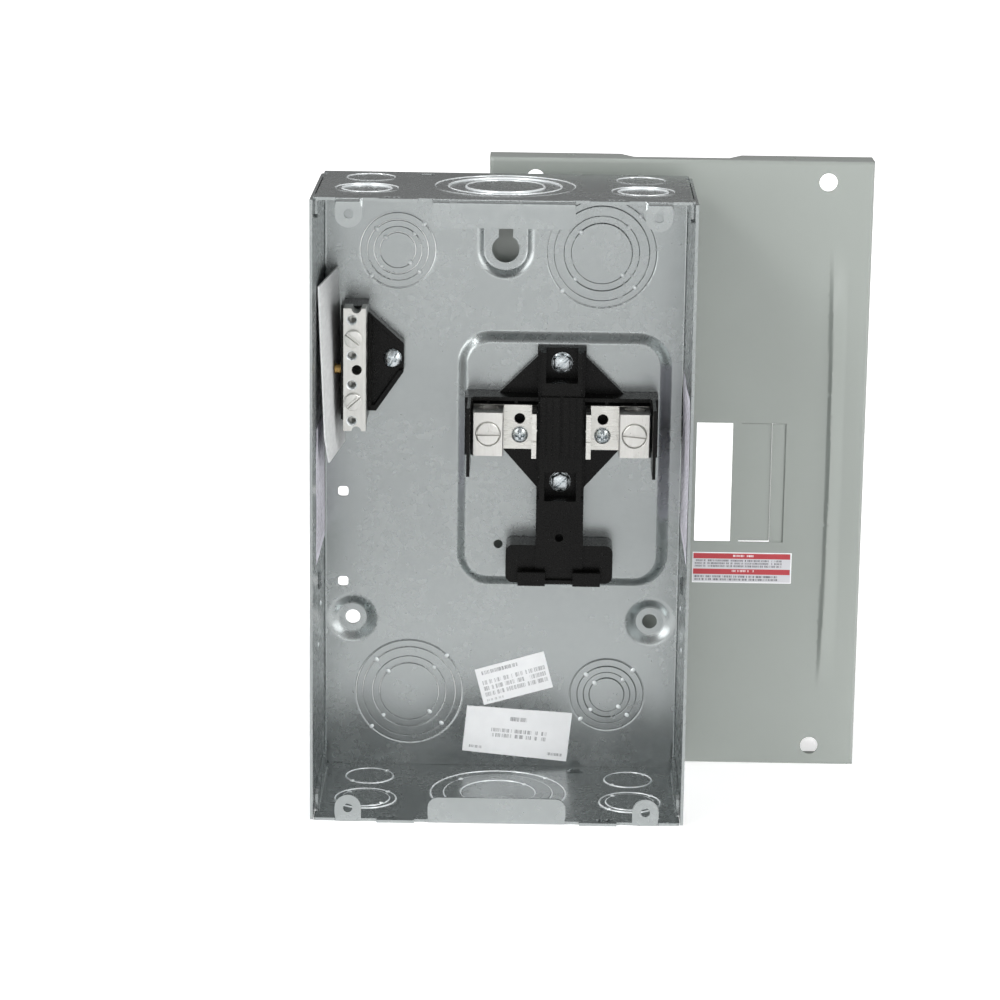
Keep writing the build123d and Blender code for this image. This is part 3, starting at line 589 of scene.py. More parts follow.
def end_outline():
    """Half outline from the front centre round to the rear centre, mirrored to the other half."""
    half = FLANGE_W / 2
    top, tab_top = end_v(FLANGE_LEN), end_v(TAB_LEN)
    pts = [np.array([(half - FLANGE_R, top)]), arc(half - FLANGE_R, top + FLANGE_R, FLANGE_R, -90, 0, 5)]
    notch = [(NOTCH_X[0], END_V0), (NOTCH_X[0], 0), (NOTCH_X[1], 0), (NOTCH_X[1], END_V0)]
    pts.append(np.array([(half, END_V0), *notch]))
    r = TAB_W / 2
    pts.append(np.array([(TAB_X - r, END_V0)]))
    pts.append(arc(TAB_X, tab_top + r, r, 180, 360, 14))
    pts.append(np.array([(TAB_X + r, END_V0), (END_HALF - 1.2, END_V0), (END_HALF, END_V0 + 1.0)]))
    y0, y1, high = SIDE_FLANGE
    far = END_U1 + END_BEND * pi / 2 + high - SHEET - END_BEND
    pts.append(np.array([(END_HALF, y0 - 1.0), (END_U1, y0 - 1.0), (END_U1, y0)]))
    pts.append(np.array([(far - 2.0, y0), (far, y0 + 2.0), (far, y1 - 2.0), (far - 2.0, y1)]))
    pts.append(np.array([(END_U1, y1), (END_U1, y1 + 1.0), (END_HALF, y1 + 1.0), (END_HALF, END_DEEP)]))
    right = np.concatenate(pts)
    left = right[::-1] * np.array((-1, 1))
    return np.concatenate([right, left])


def end_folded(u, v):
    """Where the end wall's pattern is bent: front tabs, front flange and side flanges."""
    s, hair = np.abs(u), 0.01
    front = (v < END_V0) & ((s < FLANGE_W / 2 + hair) | (np.abs(s - TAB_X) < TAB_W / 2 + hair))
    return front | ((s > END_U1) & (v > SIDE_FLANGE[0] - hair) & (v < SIDE_FLANGE[1] + hair))


def end_relief(u, v):
    h = np.zeros(len(u))
    for x in END_DIMPLES_X:
        h += dimple(np.abs(u), v, x, END_DIMPLE_Y, END_DIMPLE_RISE, 1.4)
    h -= roll_over(u, v, 0, BOX_MID_Y, CENTRE_RINGS[0], *END_ROLL)
    for x, y, radii in END_SMALL:
        h -= roll_over(u, v, x, y, radii[0], *END_ROLL)
    x, y = END_LANCE_XY
    h += ramp(rect_depth(u, v, x - END_LANCE_HALF, x + END_LANCE_HALF, y, y + END_LANCE_DEEP, 1.6) / 1.4)
    return h + 0.05 * np.sin(u / 17.0 + 0.5) * np.sin(v / 13.0 + 1.0) * (v > END_V0 + 2)


def end_shape(points, depth):
    flats = (-END_U1, END_U1, END_V0, 1e3)
    a, b, c = fold(points, depth - end_relief(points[:, 0], points[:, 1]), flats, END_BEND, end_folded)
    return np.stack([a, b, SHEET + c], 1)


def end_wall():
    holes = [circle(0, BOX_MID_Y, CENTRE_RINGS[0], 96)]
    holes += [circle(x, y, radii[0], 72) for x, y, radii in END_SMALL]
    holes += [circle(sign * TAB_X, end_v(TAB_HOLE_Z), TAB_HOLE_R, 28) for sign in (-1, 1)]
    x, y = END_LANCE_XY
    holes.append(rectangle(x - END_LANCE_HALF, x + END_LANCE_HALF, y - 1.0, y))
    plain = grid(-END_HALF, END_HALF, 0, END_DEEP, 4.0)
    plain = plain[(plain[:, 1] > END_V0 + 2.5) & (np.abs(plain[:, 0]) < END_U1 - 2.5)]
    seeds = [plain, halo(0, BOX_MID_Y, CENTRE_RINGS[0], count=96)]
    seeds += [halo(x, y, radii[0]) for x, y, radii in END_SMALL]
    rows = [END_V0 - END_BEND * pi / 2 * t for t in BEND_STEPS] + [END_V0 + 1.5, end_v(5)]
    seeds.append(np.array([(x, row) for row in rows for x in np.arange(-END_HALF, END_HALF, 2.0)]))
    seeds.append(np.flip(fold_rows(END_U1, END_BEND, *SIDE_FLANGE[:2], 3.0), axis=0))
    seeds += [grid(x0, x0 + 8.5, 1.5, 7, 0.7) for x0 in (-53, 44.5)]
    seeds.append(grid(x - 5, x + 5, y - 1, y + 5, 0.8))
    return sheet_solid(densify(end_outline(), 4.0), holes, np.concatenate(seeds), SHEET, end_shape)


def turned_over(points):
    """Bottom end wall's points turned half a turn about the depth axis to the top."""
    return np.asarray(points) * np.array((-1, 1, -1)) + np.array((0, 0, ROOF_Z))


# ---------------------------------------------------------------- cover
COVER_BEND = 0.9
COVER_FLAT = (-COVER_W / 2 + COVER_BEND + COVER_T, COVER_W / 2 - COVER_BEND - COVER_T)
COVER_FLAT_Z = (COVER_BEND + COVER_T, COVER_H - COVER_BEND - COVER_T)
FLANGE_RUN = COVER_BEND * pi / 2 + COVER_FLANGE - COVER_T - COVER_BEND


def cover_outline():
    """Flat pattern of the cover with its four flanges: its lower half, then the same turned half a turn."""
    u, v = COVER_FLAT[1], COVER_FLAT_Z[0]
    run, turn = FLANGE_RUN, COVER_BEND * pi / 2
    end = turn - CORNER_GAP
    scoop_in, scoop_out = SCOOP_X
    scoop = [(-scoop_out, v - run), (-scoop_in, v - run + SCOOP_DEEP)]
    corner = np.array([(-u - turn, v - turn), (-u - end, v - run), *scoop])
    side = [(u + run, v - end), (u + run, COVER_H - v + end)]
    half = np.concatenate([corner, corner[::-1] * np.array((-1, 1)), side])
    return np.concatenate([half, np.array((0, COVER_H)) - half])


def cover_relief(u, v):
    """How far the cover's face stands out towards the viewer."""
    h = np.zeros(len(u))
    along = ramp((v - CREASE_Z[0]) / CREASE_FADE[0]) * ramp((CREASE_Z[1] - v) / CREASE_FADE[1])
    bow = CREASE_BOW * np.cos((v - CREASE_MID_Z) / CREASE_HALF * pi / 2) - 1.0
    for s in (-u, u):
        rise = ramp((s - CREASE_X[0] - bow) / 1.8) * ramp((CREASE_X[1] - s) / (6.4 - bow))
        h += CREASE_RISE * along * rise
    h += 0.1 * np.sin(u / 34.0 + 0.4) * np.sin(v / 45.0 + 0.8)
    return h


def cover_shape(points, depth):
    flats = (*COVER_FLAT, *COVER_FLAT_Z)
    outward = COVER_T - depth
    face = np.minimum(rect_depth(points[:, 0], points[:, 1], *flats, 2.0) / 6, 1).clip(0)
    relief = cover_relief(points[:, 0], points[:, 1]) * face
    a, b, c = fold(points, outward + relief, flats, COVER_BEND)
    return np.stack([COVER_X + a, COVER_Y + COVER_T + c, b], 1)


def cover_panel():
    x, z, r = COVER_HOLE
    mid = COVER_H / 2
    holes = [circle(sx * x, mid + sz * z, r, 40) for sx in (-1, 1) for sz in (-1, 1)]
    w0, w1, z0, z1 = WINDOW
    holes += [rectangle(w0, OPENING_X1, z0, z1), rectangle(FLAP_X0, w1, z0, z1)]
    middle = COVER_BEND * pi / 2 + FLANGE_HOLE_Y - COVER_T - COVER_BEND
    for v in (COVER_FLAT_Z[0] - middle, COVER_FLAT_Z[1] + middle):
        holes += [circle(sx * FLANGE_HOLE_X, v, FLANGE_HOLE_R, 24) for sx in (-1, 1)]
    plain = grid(-COVER_W, COVER_W, -20, COVER_H + 20, 6.0)
    half = COVER_BEND * pi / 4
    plain = plain[np.abs(np.abs(plain[:, 0]) - COVER_FLAT[1] - half) > half + 2.5]
    for v in (COVER_FLAT_Z[0] - half, COVER_FLAT_Z[1] + half):
        plain = plain[np.abs(plain[:, 1] - v) > half + 2.5]
    seeds = [plain]
    crease = [(x, z) for x in np.arange(68.5, 80.0, 0.8) for z in np.arange(30, 262, 2.5)]
    seeds += [np.array(crease) * np.array((sign, 1)) for sign in (-1, 1)]
    seeds.append(fold_rows(COVER_FLAT[1], COVER_BEND, 0, COVER_H, 2.0))
    rows = [COVER_BEND * pi / 2 * t for t in BEND_STEPS] + [-1.5]
    across = np.arange(COVER_FLAT[0] - 1.4, COVER_FLAT[1] + 1.5, 2.0)
    seeds.append(np.array([(x, COVER_FLAT_Z[0] - row) for row in rows for x in across]))
    seeds.append(np.array([(x, COVER_FLAT_Z[1] + row) for row in rows for x in across]))
    holes = [densify(h, 4.0) for h in holes]
    return sheet_solid(densify(cover_outline(), 4.0), holes, np.concatenate(seeds), COVER_T, cover_shape)


def window_part(node, grow, sink):
    """Twist-out part of the window as a slightly sunk sheet that laps behind the opening's edges.
    grow = (left lap, right lap, gap below, gap above), sink = depths at its left and right edges."""
    x0, x1, *_ = mm_box(node)
    x0, x1, z0, z1 = x0 - grow[0], x1 + grow[1], WINDOW[2] + grow[2], WINDOW[3] - grow[3]
    seeds = np.array([(x, z) for x in np.linspace(x0, x1, 9)[1:-1] for z in np.arange(z0 + 2, z1 - 1, 4.0)])

    def shape(points, depth):
        t = (points[:, 0] - x0) / (x1 - x0)
        y = COVER_Y + sink[0] + (sink[1] - sink[0]) * t * t + depth
        return np.stack([points[:, 0], y, points[:, 1]], 1)

    return sheet_solid(densify(rectangle(x0, x1, z0, z1, 0.4, 3), 4.0), [], seeds, COVER_T, shape)


# ---------------------------------------------------------------- screw heads
def slot_cut(u, v, turn_deg, half_width, reach, depth):
    """Depth of a straight driver slot through the head's centre."""
    c, s = cos(radians(turn_deg)), sin(radians(turn_deg))
    along, across = np.abs(u * c + v * s), np.abs(v * c - u * s)
    return depth * (1 - soft((across - half_width) / 0.22)) * (1 - soft((along - reach) / 0.22))


def pan_head(u, v, r, side, crown, cuts):
    """Domed head: side is the height of its cylindrical side, crown the dome above it."""
    away = np.hypot(u, v)
    h = side + crown * (1 - (away / r) ** 2) - 0.25 * soft((away - r + 0.5) / 0.5)
    return h - np.max([slot_cut(u, v, *cut) for cut in cuts], axis=0)


def washer_head(u, v, r, turn_deg):
    """Hexagon on a round washer, with a slot."""
    a = np.radians(turn_deg + np.array((0, 60, 120)))
    hexagon = np.max([np.abs(u * cos(t) + v * sin(t)) for t in a], axis=0)
    away = np.hypot(u, v)
    h = 1.1 - 0.3 * soft((away - r + 0.6) / 0.6)
    h = h + (1.7 + 0.9 * (1 - (away / r) ** 2)) * (1 - soft((hexagon - 3.45) / 0.4))
    return h - slot_cut(u, v, turn_deg + 45, 0.5, 4.4, 1.3) * (hexagon < 3.9)


def screw(x, z, seat, r, height, shank_r, tip, count=24):
    """Screw along the depth axis: a relief of its head and a plain shank with count sides."""
    seeds = [circle(0, 0, t, max(8, int(t * 22))) for t in np.arange(0.15, r - 0.1, 0.2)]

    def shape(points, depth):
        h = height(points[:, 0], points[:, 1]) if depth == 0.0 else np.zeros(len(points))
        return np.stack([x + points[:, 0], seat - h, z + points[:, 1]], 1)

    points, faces, normals = sheet_solid(circle(0, 0, r, 72), [], np.concatenate(seeds), 1.0, shape)
    ring = circle(x, z, shank_r, count)
    n = len(points)
    ends = [np.stack([ring[:, 0], np.full(count, y), ring[:, 1]], 1) for y in (seat - 0.05, tip)]
    faces += [tuple(n + i for i in face) for face in ring_faces(2, count, False)]
    faces.append(tuple(range(n + count, n + 2 * count)))
    return np.concatenate([points, *ends]), faces, np.concatenate([normals, np.zeros((2 * count, 3))])


def joined(screws):
    """Several screws as one piece."""
    points, faces = merge([(p, f) for p, f, _ in screws])
    return np.array(points), faces, np.concatenate([n for _, _, n in screws])


BAR_TAP_X, BAR_TAPS_Z, BAR_TAP_R, BAR_PITCH = -68.9, (221.6, 205.1, 191.6, 174.9), 2.45, 0.85
BUS_SEAT, BASE_SEAT, MOUNT_SEAT, WIRE_HEAD = 66.0, 73.0, 77.0, 1.9


def thread_rings(count=32):
    """Thread crests in the tapped holes of the neutral bar."""
    front, parts = mm_box("neutral_bar")[2] - 0.3, []
    root, crest = BAR_TAP_R + 0.05, BAR_TAP_R - 0.42
    angles = np.arange(count) * 2 * pi / count
    for z in BAR_TAPS_Z:
        for k in range(6):
            profile = [(r, front + y + BAR_PITCH * k) for r, y in ((root, 0.55), (crest, 0.95), (root, 1.35))]
            points = [(BAR_TAP_X + r * cos(t), y, z + r * sin(t)) for r, y in profile for t in angles]
            parts.append((points, ring_faces(3, count, True)))
    threads = mesh_piece("neutral_bar_threads", *merge(parts))
    # The crests wear the pale metal: cut metal, lighter than the bar as a painted highlight inside the holes.
    threads.data.materials.append(TORN_ZINC_AND_HIGHLIGHT)
    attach(threads, BODY_OF["neutral_bar"])


def bus_screws():
    crossed = [(turn, 0.42, 2.1, 1.7) for turn in (0, 90)]
    x0, x1, _, tip, z0, z1 = mm_box("bus_screws")
    r, z = (z1 - z0) / 2, (z0 + z1) / 2
    pair = []
    for x in (x0 + r, x1 - r):
        pair.append(screw(x, z, BUS_SEAT, r, lambda u, v: pan_head(u, v, r, 1.2, 1.5, crossed), 1.6, tip))
    stand_in(mesh_piece("bus_screws_crossed", *joined(pair)), "bus_screws")


def base_screws():
    x0, x1, _, tip, z0, z1 = mm_box("base_screws")
    r = (x1 - x0) / 2
    pair = []
    for z in (z0 + r, z1 - r):
        pair.append(screw(x0 + r, z, BASE_SEAT, r, lambda u, v: washer_head(u, v, r, 0), 2.25, tip))
    stand_in(mesh_piece("base_screws_hex", *joined(pair)), "base_screws")


def neutral_screws():
    x0, x1, _, tip, z0, _ = mm_box("neutral_mount_screw")
    r, cuts = (x1 - x0) / 2, [(62, 0.5, 3.6, 1.3), (152, 0.5, 1.9, 1.3)]
    one = screw(x0 + r, z0 + r, MOUNT_SEAT, r, lambda u, v: pan_head(u, v, r, 1.5, 1.3, cuts), 2.0, tip)
    stand_in(mesh_piece("neutral_mount_screw_pan", *one), "neutral_mount_screw")
    for name, turn in (("neutral_screw_upper", -38), ("neutral_screw_lower", 42)):
        x0, x1, y0, tip, z0, _ = mm_box(name)
        r, seat, cuts = (x1 - x0) / 2, y0 + WIRE_HEAD, [(turn, 0.5, 5.0, 1.2)]
        one = screw(x0 + r, z0 + r, seat, r, lambda u, v: pan_head(u, v, r, 1.7, 0.2, cuts), 2.4, tip)
        stand_in(mesh_piece(name + "_slotted", *one), name, material=MATERIALS["bar_metal"])


# ---------------------------------------------------------------- finishing of CAD shapes
ROUNDED_ABOVE_DEG, SHARP_ABOVE_DEG = 28.0, 50.0


def finished(node, width_mm):
    """Copy of a CAD node with its edges rounded, which then stands for the node."""
    bm = bmesh.new()
    bm.from_mesh(frame["nodes"][node].data)
    bmesh.ops.remove_doubles(bm, verts=bm.verts, dist=2e-6)
    bmesh.ops.dissolve_limit(bm, angle_limit=radians(0.6), verts=bm.verts, edges=bm.edges)
    limit = radians(ROUNDED_ABOVE_DEG)
    edges = [e for e in bm.edges if len(e.link_faces) == 2 and e.calc_face_angle(0.0) > limit]
    how = {"segments": 2, "profile": 0.6, "affect": "EDGES", "clamp_overlap": True}
    bmesh.ops.bevel(bm, geom=edges, offset=width_mm * MM, **how)
    mesh = bpy.data.meshes.new(node + "_finished")
    bm.to_mesh(mesh)
    bm.free()
    mesh.shade_smooth()
    mesh.set_sharp_from_angle(angle=radians(SHARP_ABOVE_DEG))
    obj = linked(node + "_finished", mesh)
    obj.modifiers.new("normals", "WEIGHTED_NORMAL").keep_sharp = True
    return obj


# ---------------------------------------------------------------- materials
class Nodes:
    """Short calls for the nodes of one tree."""

    def __init__(self, tree):
        self.tree = tree

    def set(self, node, values):
        for key, value in values.items():
            if hasattr(value, "is_output"):
                self.tree.links.new(value, node.inputs[key])
            else:
                node.inputs[key].default_value = value
        return node

    def add(self, kind, values=None, **settings):
        node = self.tree.nodes.new("ShaderNode" + kind)
        for key, value in settings.items():
            setattr(node, key, value)
        return self.set(node, values or {})

    def coords(self, scale=(1, 1, 1)):
        source = self.add("TexCoord").outputs["Object"]
        return self.add("Mapping", {"Vector": source, "Scale": scale}).outputs["Vector"]

    def noise(self, scale, detail=2.0, vector=None):
        values = {"Scale": scale, "Detail": detail, "Roughness": 0.5}
        values["Vector"] = vector if vector is not None else self.coords()
        return self.add("TexNoise", values).outputs["Fac"]

    def spread(self, value, low, high, to_low, to_high):
        values = {"Value": value, "From Min": low, "From Max": high, "To Min": to_low, "To Max": to_high}
        return self.add("MapRange", values, clamp=True).outputs["Result"]

    def math(self, operation, a, b=0.0):
        node = self.add("Math", operation=operation)
        return self.set(node, {0: a, 1: b}).outputs[0]

    def mix(self, fac, a, b):
        node = self.add("MixRGB")
        a = a if hasattr(a, "is_output") else (*a, 1)
        b = b if hasattr(b, "is_output") else (*b, 1)
        return self.set(node, {"Fac": fac, "Color1": a, "Color2": b}).outputs["Color"]

    def mottle(self, value, a, b, low=0.3, high=0.7):
        """Colour that goes from a to b as value goes from low to high."""
        return self.mix(self.spread(value, low, high, 0, 1), a, b)


class Shader(Nodes):
    """A Principled material with short calls for its nodes."""

    def __init__(self, name, color, roughness, metallic=0.0, **sockets):
        self.material = bpy.data.materials.new(name)
        self.material.use_nodes = True
        super().__init__(self.material.node_tree)
        self.surface = self.tree.nodes["Principled BSDF"]
        values = {"Base Color": (*color, 1), "Roughness": roughness, "Metallic": metallic}
        self.set(self.surface, {**values, **sockets})

    def bump(self, height, strength, distance):
        values = {"Height": height, "Strength": strength, "Distance": distance}
        before = self.surface.inputs["Normal"]
        if before.links:
            values["Normal"] = before.links[0].from_socket
        self.set(self.surface, {"Normal": self.add("Bump", values).outputs["Normal"]})

    def drive(self, **sockets):
        self.set(self.surface, {key.replace("_", " "): value for key, value in sockets.items()})
        return self.material


def galvanised():
    """Zinc-coated sheet: soft sheen, small faint spangles, fine pits and a few darker clouds."""
    s = Shader("galvanised_steel", (0.43, 0.45, 0.45), 0.3, 1.0)
    cells = s.add("TexVoronoi", {"Vector": s.coords(), "Scale": 420.0, "Randomness": 1.0}).outputs["Color"]
    cell = s.add("SeparateColor", {"Color": cells}).outputs["Red"]
    cloud = s.noise(38.0, 4.0)
    grain = s.noise(1900.0, 2.0)
    tone = s.math("ADD", s.math("MULTIPLY", cell, 0.3), s.math("MULTIPLY", cloud, 0.7))
    color = s.mottle(tone, (0.345, 0.368, 0.368), (0.375, 0.397, 0.398), 0.25, 0.75)
    rough = s.math("ADD", s.spread(cell, 0, 1, 0.255, 0.275), s.spread(cloud, 0.3, 0.7, -0.01, 0.015))
    s.bump(grain, 0.04, 0.0001)
    s.bump(s.noise(300.0, 3.0), 0.012, 0.0002)
    return s.drive(Base_Color=color, Roughness=rough)


def black_moulding():
    """Black moulded plastic with a fine grain."""
    s = Shader("black_moulding", (0.006, 0.006, 0.006), 0.3, **{"Specular IOR Level": 0.17})
    grain = s.noise(1500.0, 3.0)
    flow = s.noise(90.0, 3.0)
    color = s.mottle(flow, (0.0005, 0.0005, 0.0004), (0.0015, 0.0015, 0.0012))
    s.bump(grain, 0.15, 0.0001)
    return s.drive(Base_Color=color, Roughness=s.spread(grain, 0.3, 0.7, 0.22, 0.34))


def plated(name, color, dark, rough, streak):
    """Plated or drawn metal with fine streaks along one direction."""
    s = Shader(name, color, rough, 1.0)
    lines = s.noise(900.0, 3.0, s.coords(streak))
    cloud = s.noise(160.0, 3.0)
    tone = s.mottle(lines, dark, color)
    tone = s.mix(s.spread(cloud, 0.35, 0.8, 0, 0.15), tone, dark)
    s.bump(lines, 0.12, 0.0001)
    return s.drive(Base_Color=tone, Roughness=s.spread(lines, 0.3, 0.7, rough - 0.06, rough + 0.08))


def cover_paint():
    """Baked grey enamel with a light orange peel."""
    s = Shader("cover_paint", (0.335, 0.36, 0.335), 0.42, **{"Coat Weight": 0.8, "Coat Roughness": 0.22})
    peel = s.noise(700.0, 2.0)
    cloud = s.noise(14.0, 3.0)
    color = s.mottle(cloud, (0.26, 0.284, 0.264), (0.275, 0.3, 0.279))
    s.bump(peel, 0.06, 0.0002)
    return s.drive(Base_Color=color, Roughness=s.spread(peel, 0.3, 0.7, 0.36, 0.46))


def fibre():
    """Hard pressed fibre board."""
    s = Shader("fibre", (0.7, 0.71, 0.71), 0.7)
    hairs = s.noise(500.0, 5.0, s.coords((1, 0.3, 1)))
    color = s.mottle(hairs, (0.66, 0.67, 0.67), (0.76, 0.77, 0.77))
    s.bump(hairs, 0.2, 0.0002)
    return s.drive(Base_Color=color)


def within(s, value, low, high):
    """1 between two limits."""
    return s.math("MULTIPLY", s.math("GREATER_THAN", value, low), s.math("LESS_THAN", value, high))


RED = (0.43, 0.04, 0.05)
WHITE = (0.86, 0.87, 0.88)
DULL = (0.58, 0.58, 0.61)
LILAC = (0.74, 0.72, 0.80)
INK = (0.05, 0.05, 0.06)


def printed(name, lines, bars=(), paper=WHITE):
    """Paper with solid bars and with lines of small strokes that stand for print.

    lines: (v0, v1, count, u0, u1, strokes, share of ink, and a colour where it isn't INK);
    bars: (v0, v1, u0, u1, colour)."""
    s = Shader(name, paper, 0.5)
    uv = s.add("SeparateXYZ", {"Vector": s.add("TexCoord").outputs["UV"]})
    u, v = uv.outputs["X"], uv.outputs["Y"]
    color = s.mottle(s.noise(200.0, 3.0), paper, tuple(c * 0.96 for c in paper))
    for v0, v1, u0, u1, tint in bars:
        color = s.mix(s.math("MULTIPLY", within(s, v, v0, v1), within(s, u, u0, u1)), color, tint)
    for v0, v1, count, u0, u1, strokes, share, *tint in lines:
        row = s.math("MULTIPLY", s.spread(v, v0, v1, 0, 1), float(count))
        tall = s.math("MULTIPLY", s.math("GREATER_THAN", s.math("FRACT", row), 0.28), within(s, v, v0, v1))
        place = {"X": s.math("MULTIPLY", u, float(strokes)), "Y": s.math("FLOOR", row), "Z": 10.0 * v0}
        where = s.add("CombineXYZ", place).outputs["Vector"]
        marks = s.math("GREATER_THAN", s.noise(1.0, 0.0, where), 0.47)
        words = s.math("GREATER_THAN", s.noise(0.16, 0.0, where), 0.36)
        area = s.math("MULTIPLY", tall, within(s, u, u0, u1))
        mask = s.math("MULTIPLY", s.math("MULTIPLY", marks, words), area)
        color = s.mix(s.math("MULTIPLY", mask, share), color, tint[0] if tint else INK)
    return s.drive(Base_Color=color)


def bare_metal_and_highlight(name, tone, rough):
    """Freshly sheared or torn metal, paler and less mirror-like than the coated faces, and partly a painted
    highlight on edges, ties, lips and thread crests.
    """
    return Shader(name, tone, rough, 0.2).material


# The second material of a sheet is for its sheared rim; its colour holds painted light, a painted highlight
# on the galvanised rims and painted shade on the cover's rims.
CUT_EDGES = {
    # Galvanised rims: bare metal of the cut, pale enough to be a painted highlight along the sheet edges.
    "galvanised_steel": bare_metal_and_highlight("sheared_edge_and_highlight", (0.86, 0.88, 0.89), 0.4),
    # Cover rims: dark grey as painted shade, for the dark lines along the cover's edges and round the
    # twist-out window's parts.
    "cover_paint": Shader("cover_rim_painted_shade", (0.13, 0.14, 0.13), 0.6).material,
}
# Pale metal: on the knockouts' ties and lips it is a painted highlight, the ties being the same zinc as the
# sheet; on the bar's thread crests it is cut metal made lighter as a painted highlight inside the holes.
TORN_ZINC_AND_HIGHLIGHT = bare_metal_and_highlight("torn_zinc_and_highlight", (0.8, 0.83, 0.84), 0.3)
MATERIALS = {
    "galvanised_steel": galvanised(),
    "black_moulding": black_moulding(),
    "bar_metal": plated("bar_metal", (0.66, 0.66, 0.635), (0.58, 0.58, 0.555), 0.34, (1, 1, 0.08)),
    "bus_metal": plated("bus_metal", (0.69, 0.685, 0.655), (0.65, 0.645, 0.615), 0.28, (0.1, 1, 1)),
    "lug_metal": plated("lug_metal", (0.68, 0.675, 0.65), (0.62, 0.615, 0.59), 0.32, (1, 1, 0.1)),
    "zinc_plate": plated("zinc_plate", (0.60, 0.64, 0.66), (0.53, 0.57, 0.59), 0.26, (1, 1, 1)),
    "brass": plated("brass", (0.52, 0.35, 0.13), (0.35, 0.22, 0.08), 0.3, (1, 1, 1)),
    "fibre": fibre(),
    "cover_paint": cover_paint(),
}

PRINTS = {
    "label_back_upper": printed(
        "print_number",
        [
            (0.76, 0.90, 1, 0.08, 0.60, 300, 0.7),
            (0.16, 0.64, 3, 0.06, 0.96, 190, 0.55),
            (0.04, 0.13, 1, 0.06, 0.3, 190, 0.4),
        ],
    ),
    "label_back_lower": printed(
        "print_listing",
        [
            (0.70, 0.82, 1, 0.42, 0.58, 300, 0.7),
            (0.34, 0.56, 2, 0.24, 0.78, 190, 0.6),
            (0.07, 0.15, 1, 0.06, 0.18, 190, 0.6),
            (0.07, 0.15, 1, 0.80, 0.95, 190, 0.6),
            (0.84, 0.92, 1, 0.04, 0.08, 190, 0.6),
        ],
    ),
    "label_side_left": printed("print_diagram", [(0.06, 0.94, 22, 0.05, 0.95, 120, 0.6)], paper=LILAC),
    "label_side_right": printed("print_wiring", [(0.05, 0.95, 24, 0.05, 0.95, 140, 0.6)], paper=LILAC),
    "cover_label": printed(
        "print_cover",
        [
            (0.05, 0.24, 2, 0.02, 0.86, 330, 0.85),
            (0.49, 0.76, 3, 0.02, 0.9, 330, 0.85),
            (0.83, 0.92, 1, 0.40, 0.62, 150, 0.75, WHITE),
            (0.335, 0.425, 1, 0.40, 0.62, 150, 0.75, WHITE),
        ],
        bars=[
            (0.03, 0.97, 0.006, 0.99, DULL),
            (0.79, 0.965, 0.008, 0.985, RED),
            (0.28, 0.455, 0.008, 0.985, RED),
        ],
    ),
}


# ---------------------------------------------------------------- assembly
BODY_OF = {node: body for body, nodes in frame["record"]["behaviour"]["bodies"].items() for node in nodes}
SLOT_OF = {row["node"]: row["material_slot"] for row in frame["record"]["subparts"]}


def stand_in(obj, *nodes, material=None):
    """The piece rides with its nodes' body, takes their material slot and is shown in their place. It wears
    the slot's material unless another is given."""
    slot = SLOT_OF[nodes[0]]
    obj.data.materials.clear()
    obj.data.materials.append(material or MATERIALS[slot])
    if slot in CUT_EDGES:
        obj.data.materials.append(CUT_EDGES[slot])
    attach(obj, BODY_OF[nodes[0]])
    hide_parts(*nodes)
    return obj


def paper(node, corners, rise, columns=24, rows=16):
    """Label as a thin slightly uneven sheet over four corners given in millimetres."""
    a, b, c, d = (np.array(p, float) for p in corners)
    normal = np.cross(b - a, d - a)
    normal /= np.linalg.norm(normal)
    points, uv = [], []
    for side in (0, 1):
        for j in range(rows + 1):
            for i in range(columns + 1):
                s, t = i / columns, j / rows
                p = a * (1 - s) * (1 - t) + b * s * (1 - t) + c * s * t + d * (1 - s) * t
                wave = rise * (sin(5.1 * s + 2.0 * t) * sin(3.7 * t + 0.6)) ** 2
                points.append(p + normal * (wave + (0.12 if side else 0.02)))
                uv.append((s, t))
    faces, n, w = [], (rows + 1) * (columns + 1), columns + 1
    for j in range(rows):
        for i in range(columns):
            k = j * w + i
            faces.append((k + n, k + 1 + n, k + 1 + w + n, k + w + n))
            faces.append((k + w, k + 1 + w, k + 1, k))
    rim = list(range(w)) + [j * w + columns for j in range(1, rows + 1)]
    rim += [rows * w + i for i in range(columns - 1, -1, -1)] + [j * w for j in range(rows - 1, 0, -1)]
    for k, m in zip(rim, rim[1:] + rim[:1]):
        faces.append((k, m, m + n, k + n))
    return mesh_piece(node + "_paper", points, faces, uv=uv)


BACK_LABELS = {
    "label_back_upper": ([(-7.6, 31.2), (25.0, 40.6), (20.3, 58.2), (-12.2, 48.6)], 0.3),
    "label_back_lower": ([(-17.8, 8.5), (31.8, 3.8), (34.3, 27.9), (-15.6, 30.9)], 0.4),
}


def labels():
    sheets = {}
    for node, (corners, rise) in BACK_LABELS.items():
        sheets[node] = [(x, BACK_IN, z) for x, z in corners], rise
    x, _, y0, y1, z0, z1 = mm_box("label_side_left")
    sheets["label_side_left"] = [(x, y0, z0), (x, y1, z0), (x, y1, z1), (x, y0, z1)], 0.3
    _, x, y0, y1, z0, z1 = mm_box("label_side_right")
    sheets["label_side_right"] = [(x, y1, z0), (x, y0, z0), (x, y0, z1), (x, y1, z1)], 0.3
    x0, x1, _, y, z0, z1 = mm_box("cover_label")
    sheets["cover_label"] = [(x0, y, z0), (x1, y, z0), (x1, y, z1), (x0, y, z1)], 0.0
    for node, (corners, rise) in sheets.items():
        stand_in(paper(node, corners, rise), node, material=PRINTS[node])


